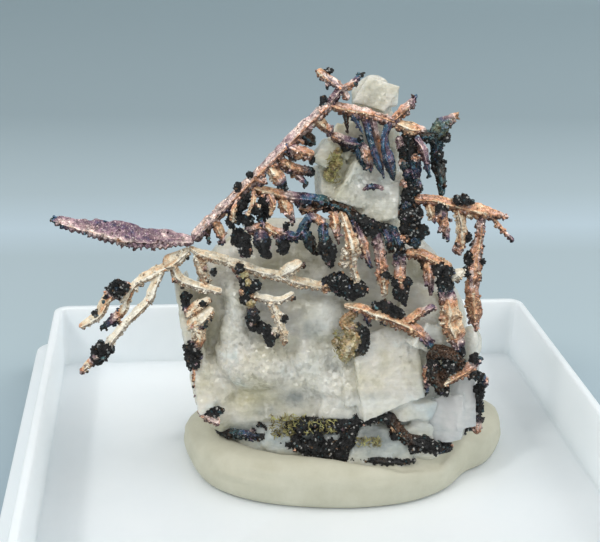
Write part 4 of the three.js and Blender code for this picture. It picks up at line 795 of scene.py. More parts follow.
def strewn(tree, ground, amount, grain, size, seed, marks):
    """Grains of one shape over a surface, turned and sized at random, with random numbers as marks."""
    strew = node(tree, "GeometryNodeDistributePointsOnFaces", Seed=seed, Mesh=ground, Density=amount)
    points = strew.outputs["Points"]
    for offset, (label, (low, high)) in enumerate(marks.items()):
        value = random_value(tree, low, high, seed + 3 + offset, "FLOAT")
        points = node(tree, "GeometryNodeStoreNamedAttribute", data_type="FLOAT", domain="POINT",
                      Name=label, Geometry=points, Value=value).outputs["Geometry"]
    scale = node(tree, "ShaderNodeVectorMath", operation="SCALE", Scale=size)
    wire(random_value(tree, LEAST_GRAIN, LARGEST_GRAIN, seed + 2), scale.inputs[0])
    put = node(tree, "GeometryNodeInstanceOnPoints", Points=points, Instance=grain,
               Scale=scale.outputs[0], Rotation=random_value(tree, -math.pi, math.pi, seed + 1))
    real = node(tree, "GeometryNodeRealizeInstances", Geometry=put.outputs["Instances"])
    return real.outputs["Geometry"]


print("sides of a grain:", LEAST_GRAIN, "to", LARGEST_GRAIN, "of its size")

# %% Grain tree
GRAIN_INPUTS = (("Crystal size", 0.22 * MM), ("Crystals per mm2", 20), ("Grain size", 0.13 * MM),
                ("Grains per mm2", 22), ("Chip size", 0.3 * MM), ("Chips per mm2", 0.3))
CRYSTAL_SEED, GRAIN_SEED, CHIP_SEED = 7, 31, 53


def read_mark(tree, label):
    read = node(tree, "GeometryNodeInputNamedAttribute", data_type="FLOAT", Name=label)
    return read.outputs["Attribute"]


def grain_tree():
    tree = bpy.data.node_groups.new("crystals_and_crust", "GeometryNodeTree")
    face = tree.interface
    face.new_socket("Geometry", in_out="INPUT", socket_type="NodeSocketGeometry")
    for label, value in GRAIN_INPUTS:
        face.new_socket(label, in_out="INPUT", socket_type="NodeSocketFloat").default_value = value
    face.new_socket("Material", in_out="INPUT", socket_type="NodeSocketMaterial")
    face.new_socket("Geometry", in_out="OUTPUT", socket_type="NodeSocketGeometry")
    given = node(tree, "NodeGroupInput").outputs
    crusted = read_mark(tree, "crust")
    bare = times(minus(1.0, crusted), read_mark(tree, "knobs"))
    block = node(tree, "GeometryNodeMeshCube").outputs["Mesh"]
    round_grain = node(tree, "GeometryNodeMeshIcoSphere", Subdivisions=1).outputs["Mesh"]
    both = node(tree, "GeometryNodeJoinGeometry")
    wire(given["Geometry"], both.inputs[0])
    layers = ((bare, "Crystal", block, CRYSTAL_SEED, {"grain": (0, 1)}),
              (crusted, "Grain", round_grain, GRAIN_SEED, {"grain": (0, 1)}),
              (crusted, "Chip", block, CHIP_SEED,
               {"grain": (0, 1), "crust": (0, 0.2), "tone": (0.2, 0.95)}))
    for share, label, shape, seed, marks in layers:
        amount = times(times(given[label + "s per mm2"], 1 / MM ** 2), share)
        grains = strewn(tree, given["Geometry"], amount, shape, given[label + " size"], seed, marks)
        wire(grains, both.inputs[0])
    paint = node(tree, "GeometryNodeSetMaterial", Geometry=both.outputs[0], Material=given["Material"])
    wire(paint.outputs["Geometry"], node(tree, "NodeGroupOutput").inputs["Geometry"])
    return tree


GRAINS = grain_tree()
print("grains strewn on silver:", [label for label, _ in GRAIN_INPUTS if "size" in label])


def socket_of(tree, name):
    return next(item.identifier for item in tree.interface.items_tree
                if item.item_type == "SOCKET" and item.in_out == "INPUT" and item.name == name)


# %% [markdown]
# ## Shared textures
# Three effects come back in several finishes: fine grain, small crystal faces and the streaks of
# cleavage. Each is a shader group built once, in object space, so it sticks to the piece, and with sizes
# in millimetres. Every material then places it with its own values.


# %% Shader helpers
def ramp(source, stops):
    """A colour for each value of a source, from stops of (value, colour)."""
    made = node(source.id_data, "ShaderNodeValToRGB")
    line = made.color_ramp
    for at, _ in stops[2:]:
        line.elements.new(at)
    for element, (at, colour) in zip(line.elements, sorted(stops)):
        element.position = at
        element.color = (*colour, 1)
    wire(source, made.inputs[0])
    return made.outputs["Color"]


def fade(source, *stops):
    """A grey for each value of a source, from stops of (value, grey)."""
    return ramp(source, [(at, (grey,) * 3) for at, grey in stops])


def mixed(factor, a, b, blend="MIX"):
    """A colour mix of sockets or colours."""
    tree = next(value.id_data for value in (factor, a, b) if is_socket(value))
    made = node(tree, "ShaderNodeMix", data_type="RGBA", blend_type=blend)
    for key, value in ((0, factor), (6, a), (7, b)):
        wire(value, made.inputs[key])
    return made.outputs[2]


def vectors(operation, a, b):
    """The outputs of a Vector Math node over two vectors."""
    made = node(a.id_data, "ShaderNodeVectorMath", operation=operation)
    wire(a, made.inputs[0])
    wire(b, made.inputs[1])
    return made.outputs


def object_place(tree):
    return node(tree, "ShaderNodeTexCoord").outputs["Object"]


def blank_group(name, inputs, outputs):
    """An empty shader group of plain numbers, where only an output named Color is a colour."""
    group = bpy.data.node_groups.new(name, "ShaderNodeTree")
    for label, value in inputs.items():
        made = group.interface.new_socket(label, in_out="INPUT", socket_type="NodeSocketFloat")
        made.default_value = value
    for label in outputs:
        kind = "NodeSocketColor" if label == "Color" else "NodeSocketFloat"
        group.interface.new_socket(label, in_out="OUTPUT", socket_type=kind)
    return group, node(group, "NodeGroupInput").outputs, node(group, "NodeGroupOutput").inputs


def texture(tree, group, **values):
    """The outputs of a shared group placed in a tree with its own values."""
    return node(tree, "ShaderNodeGroup", node_tree=group, **values).outputs


# %% Fine grain group
def grain_group():
    """Cloudy noise, as a height."""
    group, given, done = blank_group("fine_grain", {"Size": 0.3, "Detail": 4.0}, ["Height"])
    noise = node(group, "ShaderNodeTexNoise", Roughness=0.6, Vector=object_place(group),
                 Scale=reckon("DIVIDE", 1 / MM, given["Size"]), Detail=given["Detail"])
    wire(noise.outputs["Fac"], done["Height"])
    return group


FINE_GRAIN = grain_group()
print("made", FINE_GRAIN.name, "with", [item.name for item in FINE_GRAIN.interface.items_tree])


# %% Facets group
def facet_group():
    """Small flat crystal faces, each leaning its own way: a height, and a number for each face."""
    group, given, done = blank_group("facets", {"Size": 0.5}, ["Height", "Own"])
    scaled = node(group, "ShaderNodeVectorMath", operation="SCALE",
                  Scale=reckon("DIVIDE", 1 / MM, given["Size"]))
    wire(object_place(group), scaled.inputs[0])
    place_in = scaled.outputs[0]
    cells = node(group, "ShaderNodeTexVoronoi", Scale=1.0, Vector=place_in).outputs
    offset = vectors("SUBTRACT", place_in, cells["Position"])[0]
    lean = vectors("SUBTRACT", cells["Color"], (0.5, 0.5, 0.5))[0]
    wire(vectors("DOT_PRODUCT", offset, lean)["Value"], done["Height"])
    wire(node(group, "ShaderNodeSeparateColor", Color=cells["Color"]).outputs["Red"], done["Own"])
    return group


FACETS = facet_group()
print("made", FACETS.name, "with", [item.name for item in FACETS.interface.items_tree])

# %% Streaks group
STREAK_TURN = (0.0, 0.7, 0.3)
STREAK_SCALE = (0.28, 1.2, 2.2)  # the least is the way the streaks run


def streak_group():
    """The fine traces of cleavage in a broken face: noise drawn out along one way."""
    group, _, done = blank_group("streaks", {}, ["Height"])
    drawn_out = node(group, "ShaderNodeMapping", Vector=object_place(group), Rotation=STREAK_TURN,
                     Scale=STREAK_SCALE)
    noise = node(group, "ShaderNodeTexNoise", Scale=1 / MM, Detail=5.0, Roughness=0.6,
                 Vector=drawn_out.outputs["Vector"])
    wire(noise.outputs["Fac"], done["Height"])
    return group


STREAKS = streak_group()
print("made", STREAKS.name)

# %% [markdown]
# ## The tarnish
# Silver tarnishes in thin films, which pass through gold, copper, violet and blue before they turn brown
# and black. One shader group turns the tone number into that run of colours. Small faces are painted
# paler or darker as if each caught the light its own way, and pits stay dark. The downward side is
# darkened by tarnish and painted shade, the back of each arm by painted shade, and pale flecks are
# painted highlights. Olive stain and black crust lie over it all. The group puts out colour, roughness
# and metallic only, and the shader itself stays in the material.

# %% Tarnish group
TARNISH = [(0.0, (0.98, 0.92, 0.78)), (0.08, (0.92, 0.79, 0.58)), (0.14, (0.82, 0.57, 0.35)),
           (0.21, (0.71, 0.35, 0.18)), (0.28, (0.70, 0.40, 0.30)), (0.34, (0.90, 0.73, 0.65)),
           (0.39, (0.60, 0.44, 0.43)), (0.45, (0.38, 0.25, 0.28)), (0.53, (0.13, 0.08, 0.13)),
           (0.6, (0.07, 0.13, 0.24)), (0.7, (0.06, 0.15, 0.16)), (0.8, (0.09, 0.045, 0.024)),
           (1.0, (0.012, 0.011, 0.011))]
# colours of crust grains: brown, black and teal, and the palest grains are painted glints
CRUST_GRAINS_AND_GLINTS = [(0.0, (0.16, 0.09, 0.04)), (0.02, (0.07, 0.04, 0.02)), (0.04, (0.006, 0.006, 0.006)),
                (0.86, (0.008, 0.008, 0.008)), (0.9, (0.02, 0.06, 0.07)), (0.965, (0.36, 0.35, 0.33))]
MOSS = [(0.34, (0.05, 0.04, 0.015)), (0.48, (0.24, 0.20, 0.07)), (0.62, (0.48, 0.47, 0.18))]
# colours of dark pits, of painted highlights, and of the downward side's tarnish and painted shade
PIT, GLINT_COLOUR, SHADE_SIDE = (0.03, 0.016, 0.012), (0.97, 0.88, 0.77), (0.16, 0.11, 0.09)
CLOUD_SIZE, PIT_SIZE, GLINT_SIZE = 0.6, 0.24, 0.13  # mm
SILVER_FACE = 0.27  # mm across one small crystal face
FACET_RANGE = 1.2  # from the darkest small face to the palest
CLOUD_SHIFT, GRAIN_SHIFT = 0.32, 0.18  # how far clouds and single crystals move along the tarnish
SHADE_SHARE, BACK_SHADE_SHARE = 0.8, 0.85
LEAST_ROUGH, FACE_ROUGH, CRUST_ROUGH = 0.25, 0.2, 0.1
CRUST_DULL, MOSS_DULL = 0.55, 0.5  # how much metal look crust and stain take away


def tarnish_group():
    group, given, done = blank_group(
        "tarnish",
        {"Tone": 0.2, "Grain": 0.5, "Crust": 0.0, "Knobs": 0.3, "Moss": 0.0, "Back_shade": 0.0, "Up": 0.0},
        ["Color", "Roughness", "Metallic"])
    tone, knobs, moss = given["Tone"], given["Knobs"], given["Moss"]
    clouds, pits, glint_noise = (centred(texture(group, FINE_GRAIN, Size=size)["Height"])
                            for size in (CLOUD_SIZE, PIT_SIZE, GLINT_SIZE))
    own, face = centred(given["Grain"]), texture(group, FACETS, Size=SILVER_FACE)["Own"]
    shift = plus(times(clouds, CLOUD_SHIFT), times(own, GRAIN_SHIFT))
    colour = ramp(plus(tone, shift, clamp=True), TARNISH)

    aged = fade(tone, (0.06, 0.35), (0.24, 1))  # cream silver is smoother and more even
    contrast = times(aged, plus(knobs, 0.5, clamp=True))
    # painted light: each small face is made paler or darker, as if it caught the light its own way
    lit = plus(times(centred(face), times(contrast, FACET_RANGE)), 1.0)
    colour = mixed(1.0, colour, lit, "MULTIPLY")
    pit = fade(plus(pits, times(own, 0.12)), (0.03, 0), (0.11, 1))
    pitted = times(plus(times(knobs, 1.2), 0.25, clamp=True), aged)
    colour = mixed(times(pit, pitted), colour, PIT)
    # painted highlights: pale flecks where the finest noise peaks, fewer on the dark tones
    glint_mask = fade(glint_noise, (0.07, 0), (0.13, 1))
    colour = mixed(times(glint_mask, fade(tone, (0.6, 0.55), (0.8, 0.2))), colour, GLINT_COLOUR)

    # painted shade, partly tarnish: faces that look down are darkened towards SHADE_SIDE, and the back
    # takes the same colour below
    shaded = mixed(1.0, colour, SHADE_SIDE, "MULTIPLY")
    low = fade(plus(times(given["Up"], 0.5), plus(pits, 0.5)), (0.42, 1), (0.66, 0))
    colour = mixed(times(low, SHADE_SHARE), colour, shaded)
    # painted shade on the back of each arm, with random dark pits added to it
    back_shade = fade(plus(times(given["Back_shade"], aged), times(pits, 1.4)), (0.3, 0), (0.75, 1))
    colour = mixed(times(back_shade, BACK_SHADE_SHARE), colour, shaded)
    mossy_share = plus(plus(moss, pits), moss, clamp=True)
    colour = mixed(times(mossy_share, moss, clamp=True), colour, ramp(plus(clouds, 0.5), MOSS))
    crusted = fade(plus(given["Crust"], clouds), (0.25, 0), (0.55, 1))
    colour = mixed(crusted, colour, ramp(given["Grain"], CRUST_GRAINS_AND_GLINTS))

    rough = plus(plus(LEAST_ROUGH, times(face, FACE_ROUGH)), times(crusted, CRUST_ROUGH))
    metal = minus(fade(tone, (0.1, 0.15), (0.3, 0.6)), times(crusted, CRUST_DULL), clamp=True)
    metal = minus(metal, times(moss, MOSS_DULL), clamp=True)
    wire(colour, done["Color"])
    wire(rough, done["Roughness"])
    wire(metal, done["Metallic"])
    return group


TARNISH_GROUP = tarnish_group()
print("tarnish runs through", len(TARNISH), "colours")

# %% [markdown]
# ## The silver's finish
# The skin of a branch is the tarnish over two sizes of relief, flat little crystal faces and a finer
# grain on them. Both are bump only, because real relief of that size would take millions of faces.


# %% Silver material
def material(name, **values):
    """A new material whose shader has the given constant values."""
    made = bpy.data.materials.new(name)
    made.use_nodes = True
    shader = made.node_tree.nodes["Principled BSDF"]
    for key, value in values.items():
        shader.inputs[key.replace("_", " ")].default_value = value
    return made, made.node_tree, shader


def bump(shader, height, strength, distance):
    """Relief of a height, strong as a share and deep as a distance in metres."""
    made = node(shader.id_data, "ShaderNodeBump", Strength=strength, Distance=distance, Height=height)
    wire(made.outputs["Normal"], shader.inputs["Normal"])


def mark_of(tree, label):
    return node(tree, "ShaderNodeAttribute", attribute_name=label).outputs["Fac"]


def silver_material():
    made, tree, shader = material("native_silver", Specular_IOR_Level=0.45)
    tarnish = node(tree, "ShaderNodeGroup", node_tree=TARNISH_GROUP)
    for label in ("Tone", "Grain", "Crust", "Knobs", "Moss", "Back_shade"):
        wire(mark_of(tree, label.lower()), tarnish.inputs[label])
    # the way each face looks up feeds the painted shade and tarnish of the downward side
    facing = node(tree, "ShaderNodeNewGeometry").outputs["Normal"]
    wire(node(tree, "ShaderNodeSeparateXYZ", Vector=facing).outputs["Z"], tarnish.inputs["Up"])
    wire(tarnish.outputs["Color"], shader.inputs["Base Color"])
    wire(tarnish.outputs["Roughness"], shader.inputs["Roughness"])
    wire(tarnish.outputs["Metallic"], shader.inputs["Metallic"])
    fine = times(texture(tree, FINE_GRAIN, Size=0.2)["Height"], 0.5)
    bump(shader, plus(texture(tree, FACETS, Size=SILVER_FACE)["Height"], fine),
         strength=0.9, distance=0.17 * MM)
    return made


SILVER = silver_material()
print("made", SILVER.name)

# %% [markdown]
# Each branch joins its arms and lumps into one mesh, with their numbers as attributes. A modifier strews
# crystals and crust over it, and the result becomes the branch's own plain mesh.


# %% Grow the branches
def grown(name, shapes):
    """One mesh from a branch's arms and lumps, with its crust."""
    points, faces = joined([(shape["points"], shape["faces"]) for shape in shapes])
    marks = {mark: np.concatenate([shape[mark] for shape in shapes])
             for mark in ("tone", "crust", "knobs", "moss", "back_shade")}
    marks["grain"] = np.full(len(points), MIDDLE_GRAIN)
    branch = mesh_object(name, to_world(points), faces, marks)
    coat = branch.modifiers.new("crust", "NODES")
    coat.node_group = GRAINS
    coat[socket_of(GRAINS, "Material")] = SILVER
    return plain_mesh(branch)


MIDDLE_GRAIN = 0.5


def stands_for(piece, node_name, finish=None):
    """The piece takes the place of a CAD node, with a finish if it has none yet."""
    if finish:
        piece.data.materials.clear()
        piece.data.materials.append(finish)
    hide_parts(node_name)
    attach(piece, "root")


faces_made = 0
for name, parts in BRANCHES.items():
    branch = grown(name + "_crystals", [shape for part in parts for shape in part])
    stands_for(branch, name)
    faces_made += len(branch.data.polygons)
print("silver faces:", faces_made)

# %% [markdown]
# ## The calcite
# Calcite breaks into rhombs, and a grown mass shows their flat faces under soft, milky edges. Each mass
# is a closed body of drawn levels, with rhombs and rounded lobes set into it. A voxel remesh makes one
# skin of them all, as crystals that grew together have, and its faces then step along the cleavage.

# %% Calcite bodies
CALCITE_SIDES = 48
CALCITE_SQUARENESS = 0.62
CALCITE_FOOT = FLOOR_TOP + 0.8  # its flat foot in the putty
RHOMB_LEAN = 0.26


def mass(levels):
    """A crystal mass as drawn levels from the top down: y, left, right, front and back."""
    rows = smooth_line(np.array(levels, float), [4] * (len(levels) - 1))
    turn = 2 * np.pi * np.arange(CALCITE_SIDES) / CALCITE_SIDES
    across = np.sign(np.cos(turn)) * np.abs(np.cos(turn)) ** CALCITE_SQUARENESS
    deep = np.sign(np.sin(turn)) * np.abs(np.sin(turn)) ** CALCITE_SQUARENESS
    points = []
    for y, left, right, front, back in rows:
        x = (left + right) / 2 + (right - left) / 2 * across
        behind = (front + back) / 2 + (back - front) / 2 * deep
        points.append(place(np.column_stack([x, np.full_like(x, y), behind]))[0][::-1])
    return np.vstack(points), skin_faces(len(rows), CALCITE_SIDES)


def turned(points, turn):
    over_x, over_y, over_z = (Matrix.Rotation(angle, 3, axis) for angle, axis in zip(turn, "XYZ"))
    return points @ np.array(over_x @ over_y @ over_z).T


CUBE_FACES = [(0, 2, 3, 1), (4, 5, 7, 6), (0, 1, 5, 4), (2, 6, 7, 3), (0, 4, 6, 2), (1, 3, 7, 5)]


def rhomb(x, y, behind, size, turn):
    """One cleavage rhomb: drawn centre, size across, in depth and upward, and turn."""
    (centre,), (spread,) = place([(x, y, behind)])
    corners = np.array([[a, b, c] for c in (-0.5, 0.5) for b in (-0.5, 0.5) for a in (-0.5, 0.5)])
    corners = corners * np.array(size) * spread
    corners[:, 0] += RHOMB_LEAN * corners[:, 2]
    corners[:, 1] += RHOMB_LEAN / 2 * corners[:, 2]
    return turned(corners, turn) + centre, CUBE_FACES


def lobe(x, y, behind, size, turn=(0, 0, 0)):
    """A rounded, milky lobe: drawn centre, size across, in depth and upward, and turn."""
    (centre,), (spread,) = place([(x, y, behind)])
    swell = 1 + 0.12 * noise_at(BALL_POINTS + centre, 0.7, 15)
    return turned(BALL_POINTS * swell[:, None] * np.array(size) / 2 * spread, turn) + centre, BALL_FACES


MATRIX_BODIES = [
    mass([[28.5, 19.0, 45.5, 5.0, 12.0], [30.0, 18.6, 46.2, 3.8, 12.6], [32.5, 18.8, 46.6, 2.9, 13.2],
          [35.5, 19.4, 46.4, 2.4, 13.8], [39.0, 20.2, 45.4, 2.0, 14.2], [42.0, 20.9, 44.6, 1.8, 14.6],
          [44.5, 21.8, 44.2, 1.6, 14.8], [47.5, 23.0, 44.0, 1.8, 15.0]]),
    mass([[21.8, 27.0, 40.0, 7.5, 10.5], [23.6, 23.0, 42.0, 5.6, 11.2], [26.0, 20.6, 44.0, 4.0, 11.6],
          [29.0, 19.6, 45.6, 3.2, 12.0], [31.5, 20.0, 46.0, 4.0, 12.4]]),
    # the left edge and the ridge beside it
    rhomb(18.6, 30.8, 4.4, [1.5, 3.6, 6.4], [0.1, -0.42, 0.1]),
    rhomb(20.0, 36.6, 4.2, [1.6, 4.2, 8.4], [0.05, -0.42, 0.1]),
    lobe(21.4, 38.6, 3.9, [4.2, 4.4, 9.4], [0.0, -0.2, 0.0]),
    lobe(23.6, 30.4, 3.5, [2.4, 2.8, 5.6], [0.0, -0.15, 0.2]),
    lobe(23.5, 33.4, 3.5, [3.4, 3.8, 5.0]),
    # the rounded front
    lobe(25.4, 36.0, 3.6, [8.4, 5.6, 6.4], [0.1, 0.2, 0.1]),
    lobe(30.9, 35.6, 3.6, [4.8, 4.4, 4.4], [0.0, 0.6, 0.0]),
    lobe(32.9, 38.0, 3.1, [6.0, 4.2, 4.0], [0.0, 0.4, 0.0]),
    lobe(31.6, 31.4, 4.2, [7.0, 4.6, 6.0]),
    lobe(25.4, 40.8, 4.3, [8.6, 5.2, 4.8]),
    rhomb(30.6, 40.4, 4.4, [7.6, 4.6, 3.6], [-0.15, 0.05, 0.08]),
    # the flat cleavage faces right of it
    rhomb(38.2, 36.6, 3.2, [6.8, 4.6, 7.8], [0.12, -0.35, 0.28]),
    rhomb(35.2, 37.0, 3.4, [3.6, 4.0, 5.4], [0.14, -0.38, 0.34]),
    rhomb(36.4, 40.6, 2.8, [8.6, 3.8, 1.9], [0.15, 0.05, -0.05]),
    rhomb(42.6, 33.4, 2.7, [3.6, 3.0, 2.8], [0.2, 0.45, 0.45]),
    rhomb(41.8, 40.6, 2.6, [2.9, 3.0, 1.7], [0.3, 0.0, 0.3]),
    rhomb(42.4, 42.0, 3.3, [2.8, 3.6, 3.4], [0.0, -0.25, -0.1]),
    lobe(47.0, 34.3, 4.2, [2.4, 3.2, 3.8]),
    # the foot
    lobe(28.6, 43.8, 2.5, [5.6, 3.2, 4.0], [0.0, 0.1, 0.1]),
    lobe(33.6, 44.5, 2.0, [5.6, 3.2, 4.6]),
    rhomb(38.2, 44.6, 1.9, [6.4, 3.0, 4.8], [0.1, 0.1, 0.1]),
    lobe(42.2, 44.2, 2.1, [4.6, 3.2, 4.0]),
    rhomb(42.3, 30.6, 4.2, [4.4, 3.4, 4.0], [0.2, 0.3, -0.2]),
    # the back
    rhomb(26.0, 33.5, 11.4, [7.2, 4.6, 6.2], [0.3, 0.5, 0.3]),
    rhomb(34.5, 29.5, 10.2, [6.4, 4.6, 6.8], [-0.2, 0.7, -0.2]),
    rhomb(41.5, 35.8, 12.2, [6.8, 4.6, 5.6], [0.3, -0.4, 0.2]),
    rhomb(33.0, 40.5, 13.6, [6.4, 4.4, 5.4], [0.2, 0.2, -0.3]),
    rhomb(24.5, 26.0, 8.6, [4.4, 4.6, 4.6], [0.2, 0.4, 0.5]),
]
CLEAR_BODIES = [
    rhomb(44.3, 41.7, 3.1, [4.6, 4.0, 4.3], [0.0, -0.22, -0.3]),
    rhomb(45.5, 39.2, 4.0, [2.4, 4.2, 6.6], [0.0, -0.12, 0.5]),
    rhomb(45.0, 39.6, 8.0, [3.4, 6.0, 6.6], [0.0, -0.12, 0.3]),
]
CREST_BODIES = [
    mass([[10.6, 35.6, 39.0, 3.2, 7.2], [13.0, 34.0, 39.8, 2.9, 8.0], [16.0, 33.8, 40.0, 3.4, 7.8],
          [19.0, 33.2, 40.2, 2.8, 8.6], [21.0, 34.6, 40.0, 3.2, 9.2], [23.0, 36.5, 39.4, 4.6, 10.0]]),
    lobe(37.2, 9.6, 3.8, [4.1, 2.2, 4.4], [0.0, 0.3, 0.0]),
    rhomb(37.6, 9.5, 3.6, [3.4, 1.8, 3.0], [0.05, 0.3, 0.05]),
    rhomb(38.8, 9.7, 3.9, [1.7, 1.8, 2.0], [0.1, -0.1, 0.25]),
    rhomb(35.6, 18.2, 3.3, [3.6, 2.8, 4.4], [0.25, 0.35, 0.35]),
    rhomb(38.0, 20.2, 3.6, [4.2, 2.8, 3.6], [0.1, -0.2, -0.2]),
    rhomb(40.2, 18.3, 3.6, [1.4, 1.6, 2.2], [0.2, 0.5, 0.2]),
    rhomb(32.5, 15.3, 2.6, [1.8, 1.8, 2.6], [0.1, 0.4, 0.2]),
    rhomb(33.0, 17.8, 3.4, [2.8, 2.4, 3.0], [0.3, -0.3, 0.3]),
    rhomb(34.2, 14.2, 4.2, [2.8, 2.6, 3.2], [0.0, 0.3, 0.0]),
    rhomb(37.4, 17.0, 7.4, [4.2, 3.0, 4.4], [0.3, 0.6, -0.3]),
    rhomb(36.4, 20.6, 8.8, [5.6, 4.4, 5.0], [0.2, -0.5, 0.3]),
]

print("calcite bodies:", len(MATRIX_BODIES), len(CLEAR_BODIES), len(CREST_BODIES))

# %% Cleavage steps
CLEAVAGE_TILT = math.radians(44.7)  # of each cleavage plane's normal from the crystal's axis
GRAIN_COUNT = 60


def cleavage_steps(places, normals, step, amount):
    """Moves a surface on to flat steps, along the three cleavage planes of its crystal grain."""
    rng = np.random.default_rng(4)
    low, high = places.min(axis=0), places.max(axis=0)
    seeds = rng.uniform(low, high, (GRAIN_COUNT, 3))
    wobble = np.column_stack([noise_at(places, 1.5, seed) for seed in (16, 17, 18)])
    nearest = np.argmin(((places + 0.4 * wobble)[:, None] - seeds[None]) ** 2 @ np.ones(3), axis=1)
    moved = places.copy()
    for grain in range(GRAIN_COUNT):
        chosen = nearest == grain
        axis = turned(np.eye(3), rng.uniform(-0.5, 0.5, 3))
        for k in range(3):
            spin = 2 * math.pi * k / 3 + math.pi / 2
            normal = axis @ np.array([math.sin(CLEAVAGE_TILT) * math.cos(spin), math.cos(CLEAVAGE_TILT),
                                      math.sin(CLEAVAGE_TILT) * math.sin(spin)])
            facing = np.clip((np.abs(normals[chosen] @ normal) - 0.6) * 4, 0, 1)
            height = moved[chosen] @ normal / step + 0.25 * wobble[chosen, k]
            part = height - np.floor(height)
            flat = np.floor(height) + np.clip((part - 0.5) * 4 + 0.5, 0, 1)
            moved[chosen] += (facing * (flat - height) * step * amount)[:, None] * normal
    return moved


# %% [markdown]
# Calcite is clouded by what grew into it, and some of its spots are painted light and shade: some white
# spots brighten recesses that lie in shade, and some olive and dark spots paint the shade behind the
# silver, under the rounded front and along the foot. Each kind of spot is an attribute: listed spots on
# the drawing plane fade out with distance, and noise in the material frays their edges.

# %% Stains and painted light and shade
STAINS_AND_PAINTED_LIGHT = {  # drawn x, y, half width, half height, strength; they reach only so far behind the front
    # olive: yellow stain near the silver's roots, and painted shade behind the silver, under the rounded
    # front and along the foot
    "olive": [(28.5, 24.5, 6.5, 3.0, 0.4), (40.5, 26.5, 4.5, 3.0, 0.3), (25.6, 39.8, 3.6, 1.5, 0.9),
              (20.6, 32.5, 1.5, 3.0, 0.6), (33.6, 16.6, 1.4, 3.0, 1.0), (36.5, 12.8, 3.0, 1.5, 0.4),
              (39.5, 9.0, 0.7, 0.7, 0.4), (37.5, 44.5, 5.0, 1.4, 0.8), (21.3, 42.6, 2.0, 1.2, 0.7),
              (45.0, 36.6, 2.0, 1.5, 0.5)],
    # dark: grey blotches in the calcite, and painted shadow along the foot where it sits in the putty
    "dark": [(29.4, 39.8, 1.9, 1.1, 0.9), (27.0, 41.0, 1.8, 1.0, 0.7), (29.6, 31.6, 1.4, 1.6, 0.25),
             (31.2, 33.0, 1.0, 1.0, 0.8), (25.2, 32.5, 1.0, 2.6, 0.5), (31.5, 43.6, 4.5, 2.0, 1.0),
             (25.0, 42.8, 2.8, 1.0, 0.8), (37.0, 43.8, 3.0, 2.0, 1.0), (35.2, 44.6, 2.0, 1.2, 1.0),
             (33.5, 36.8, 1.2, 0.8, 0.5), (37.0, 39.6, 2.5, 0.5, 0.4)],
    "clear": [(44.2, 41.2, 2.8, 2.8, 1.0), (28.0, 43.9, 3.4, 1.4, 0.9), (38.4, 44.4, 3.4, 1.8, 0.9),
              (33.4, 43.6, 1.2, 1.4, 0.7), (42.6, 42.4, 1.5, 1.5, 0.6)],
    "sugar": [(24.6, 35.6, 5.0, 3.6, 1.0), (23.6, 30.6, 1.6, 3.6, 1.0), (32.4, 37.4, 3.6, 3.0, 1.0),
              (36.0, 18.0, 4.0, 3.4, 0.6), (37.4, 9.8, 3.0, 2.4, 0.4), (40.6, 34.6, 0.6, 1.6, 0.6)],
    # white: whiter calcite, and painted light that brightens recesses lying in shade
    "white": [(31.6, 37.2, 3.2, 2.6, 0.8), (37.6, 8.8, 3.0, 2.0, 0.3), (36.4, 40.4, 4.6, 0.9, 1.0),
              (23.0, 31.0, 1.0, 3.0, 0.8), (36.0, 33.8, 1.6, 1.4, 0.7), (32.6, 31.4, 2.2, 2.2, 0.8),
              (46.2, 38.6, 1.2, 2.0, 0.8), (38.0, 19.6, 2.4, 2.4, 0.6), (35.2, 17.6, 1.6, 1.6, 0.9),
              (42.0, 40.7, 1.4, 0.6, 1.0), (42.8, 33.4, 2.0, 1.6, 1.0), (47.4, 34.6, 1.6, 2.0, 0.8)],
}
SPOT_REACH = 6.0
print("spots of each stain:", {label: len(spots) for label, spots in STAINS_AND_PAINTED_LIGHT.items()})


def stain_and_light_amount(places, spots):
    """How much of one kind of spot, stain and painted light alike, each point in mm has, from its spots.
    """
    local = (places - np.array(PLANE_CENTRE)) @ PLANE_TURN
    spread = 1 + local[:, 1] / EYE_DISTANCE
    x, y = SIGHT_X + local[:, 0] / spread, SIGHT_Y - local[:, 2] / spread
    behind = local[:, 1] - SEAT_DEPTH + (SEAT_Y - y) * LEAN
    total = np.zeros(len(x))
    for spot_x, spot_y, half_x, half_y, strength in spots:
        away = ((x - spot_x) / half_x) ** 2 + ((y - spot_y) / half_y) ** 2
        total = np.maximum(total, strength * np.exp(-away))
    return total * np.clip((SPOT_REACH - behind) / 2, 0, 1)


# %% Calcite skin
STEP_SHARE = 0.3  # how far the surface moves on to its cleavage steps
LEAST_SWELL = 0.35  # of the sugary bumps, where a face is not sugary


def vertex_rows(mesh, what):
    values = np.empty(len(mesh.vertices) * 3)
    source, key = (mesh.vertices, "co") if what == "places" else (mesh.vertex_normals, "vector")
    source.foreach_get(key, values)
    return values.reshape(-1, 3)


def smoothed(piece, times_over):
    soft = piece.modifiers.new("soften", "SMOOTH")
    soft.factor = 0.5
    soft.iterations = times_over
    return plain_mesh(piece)


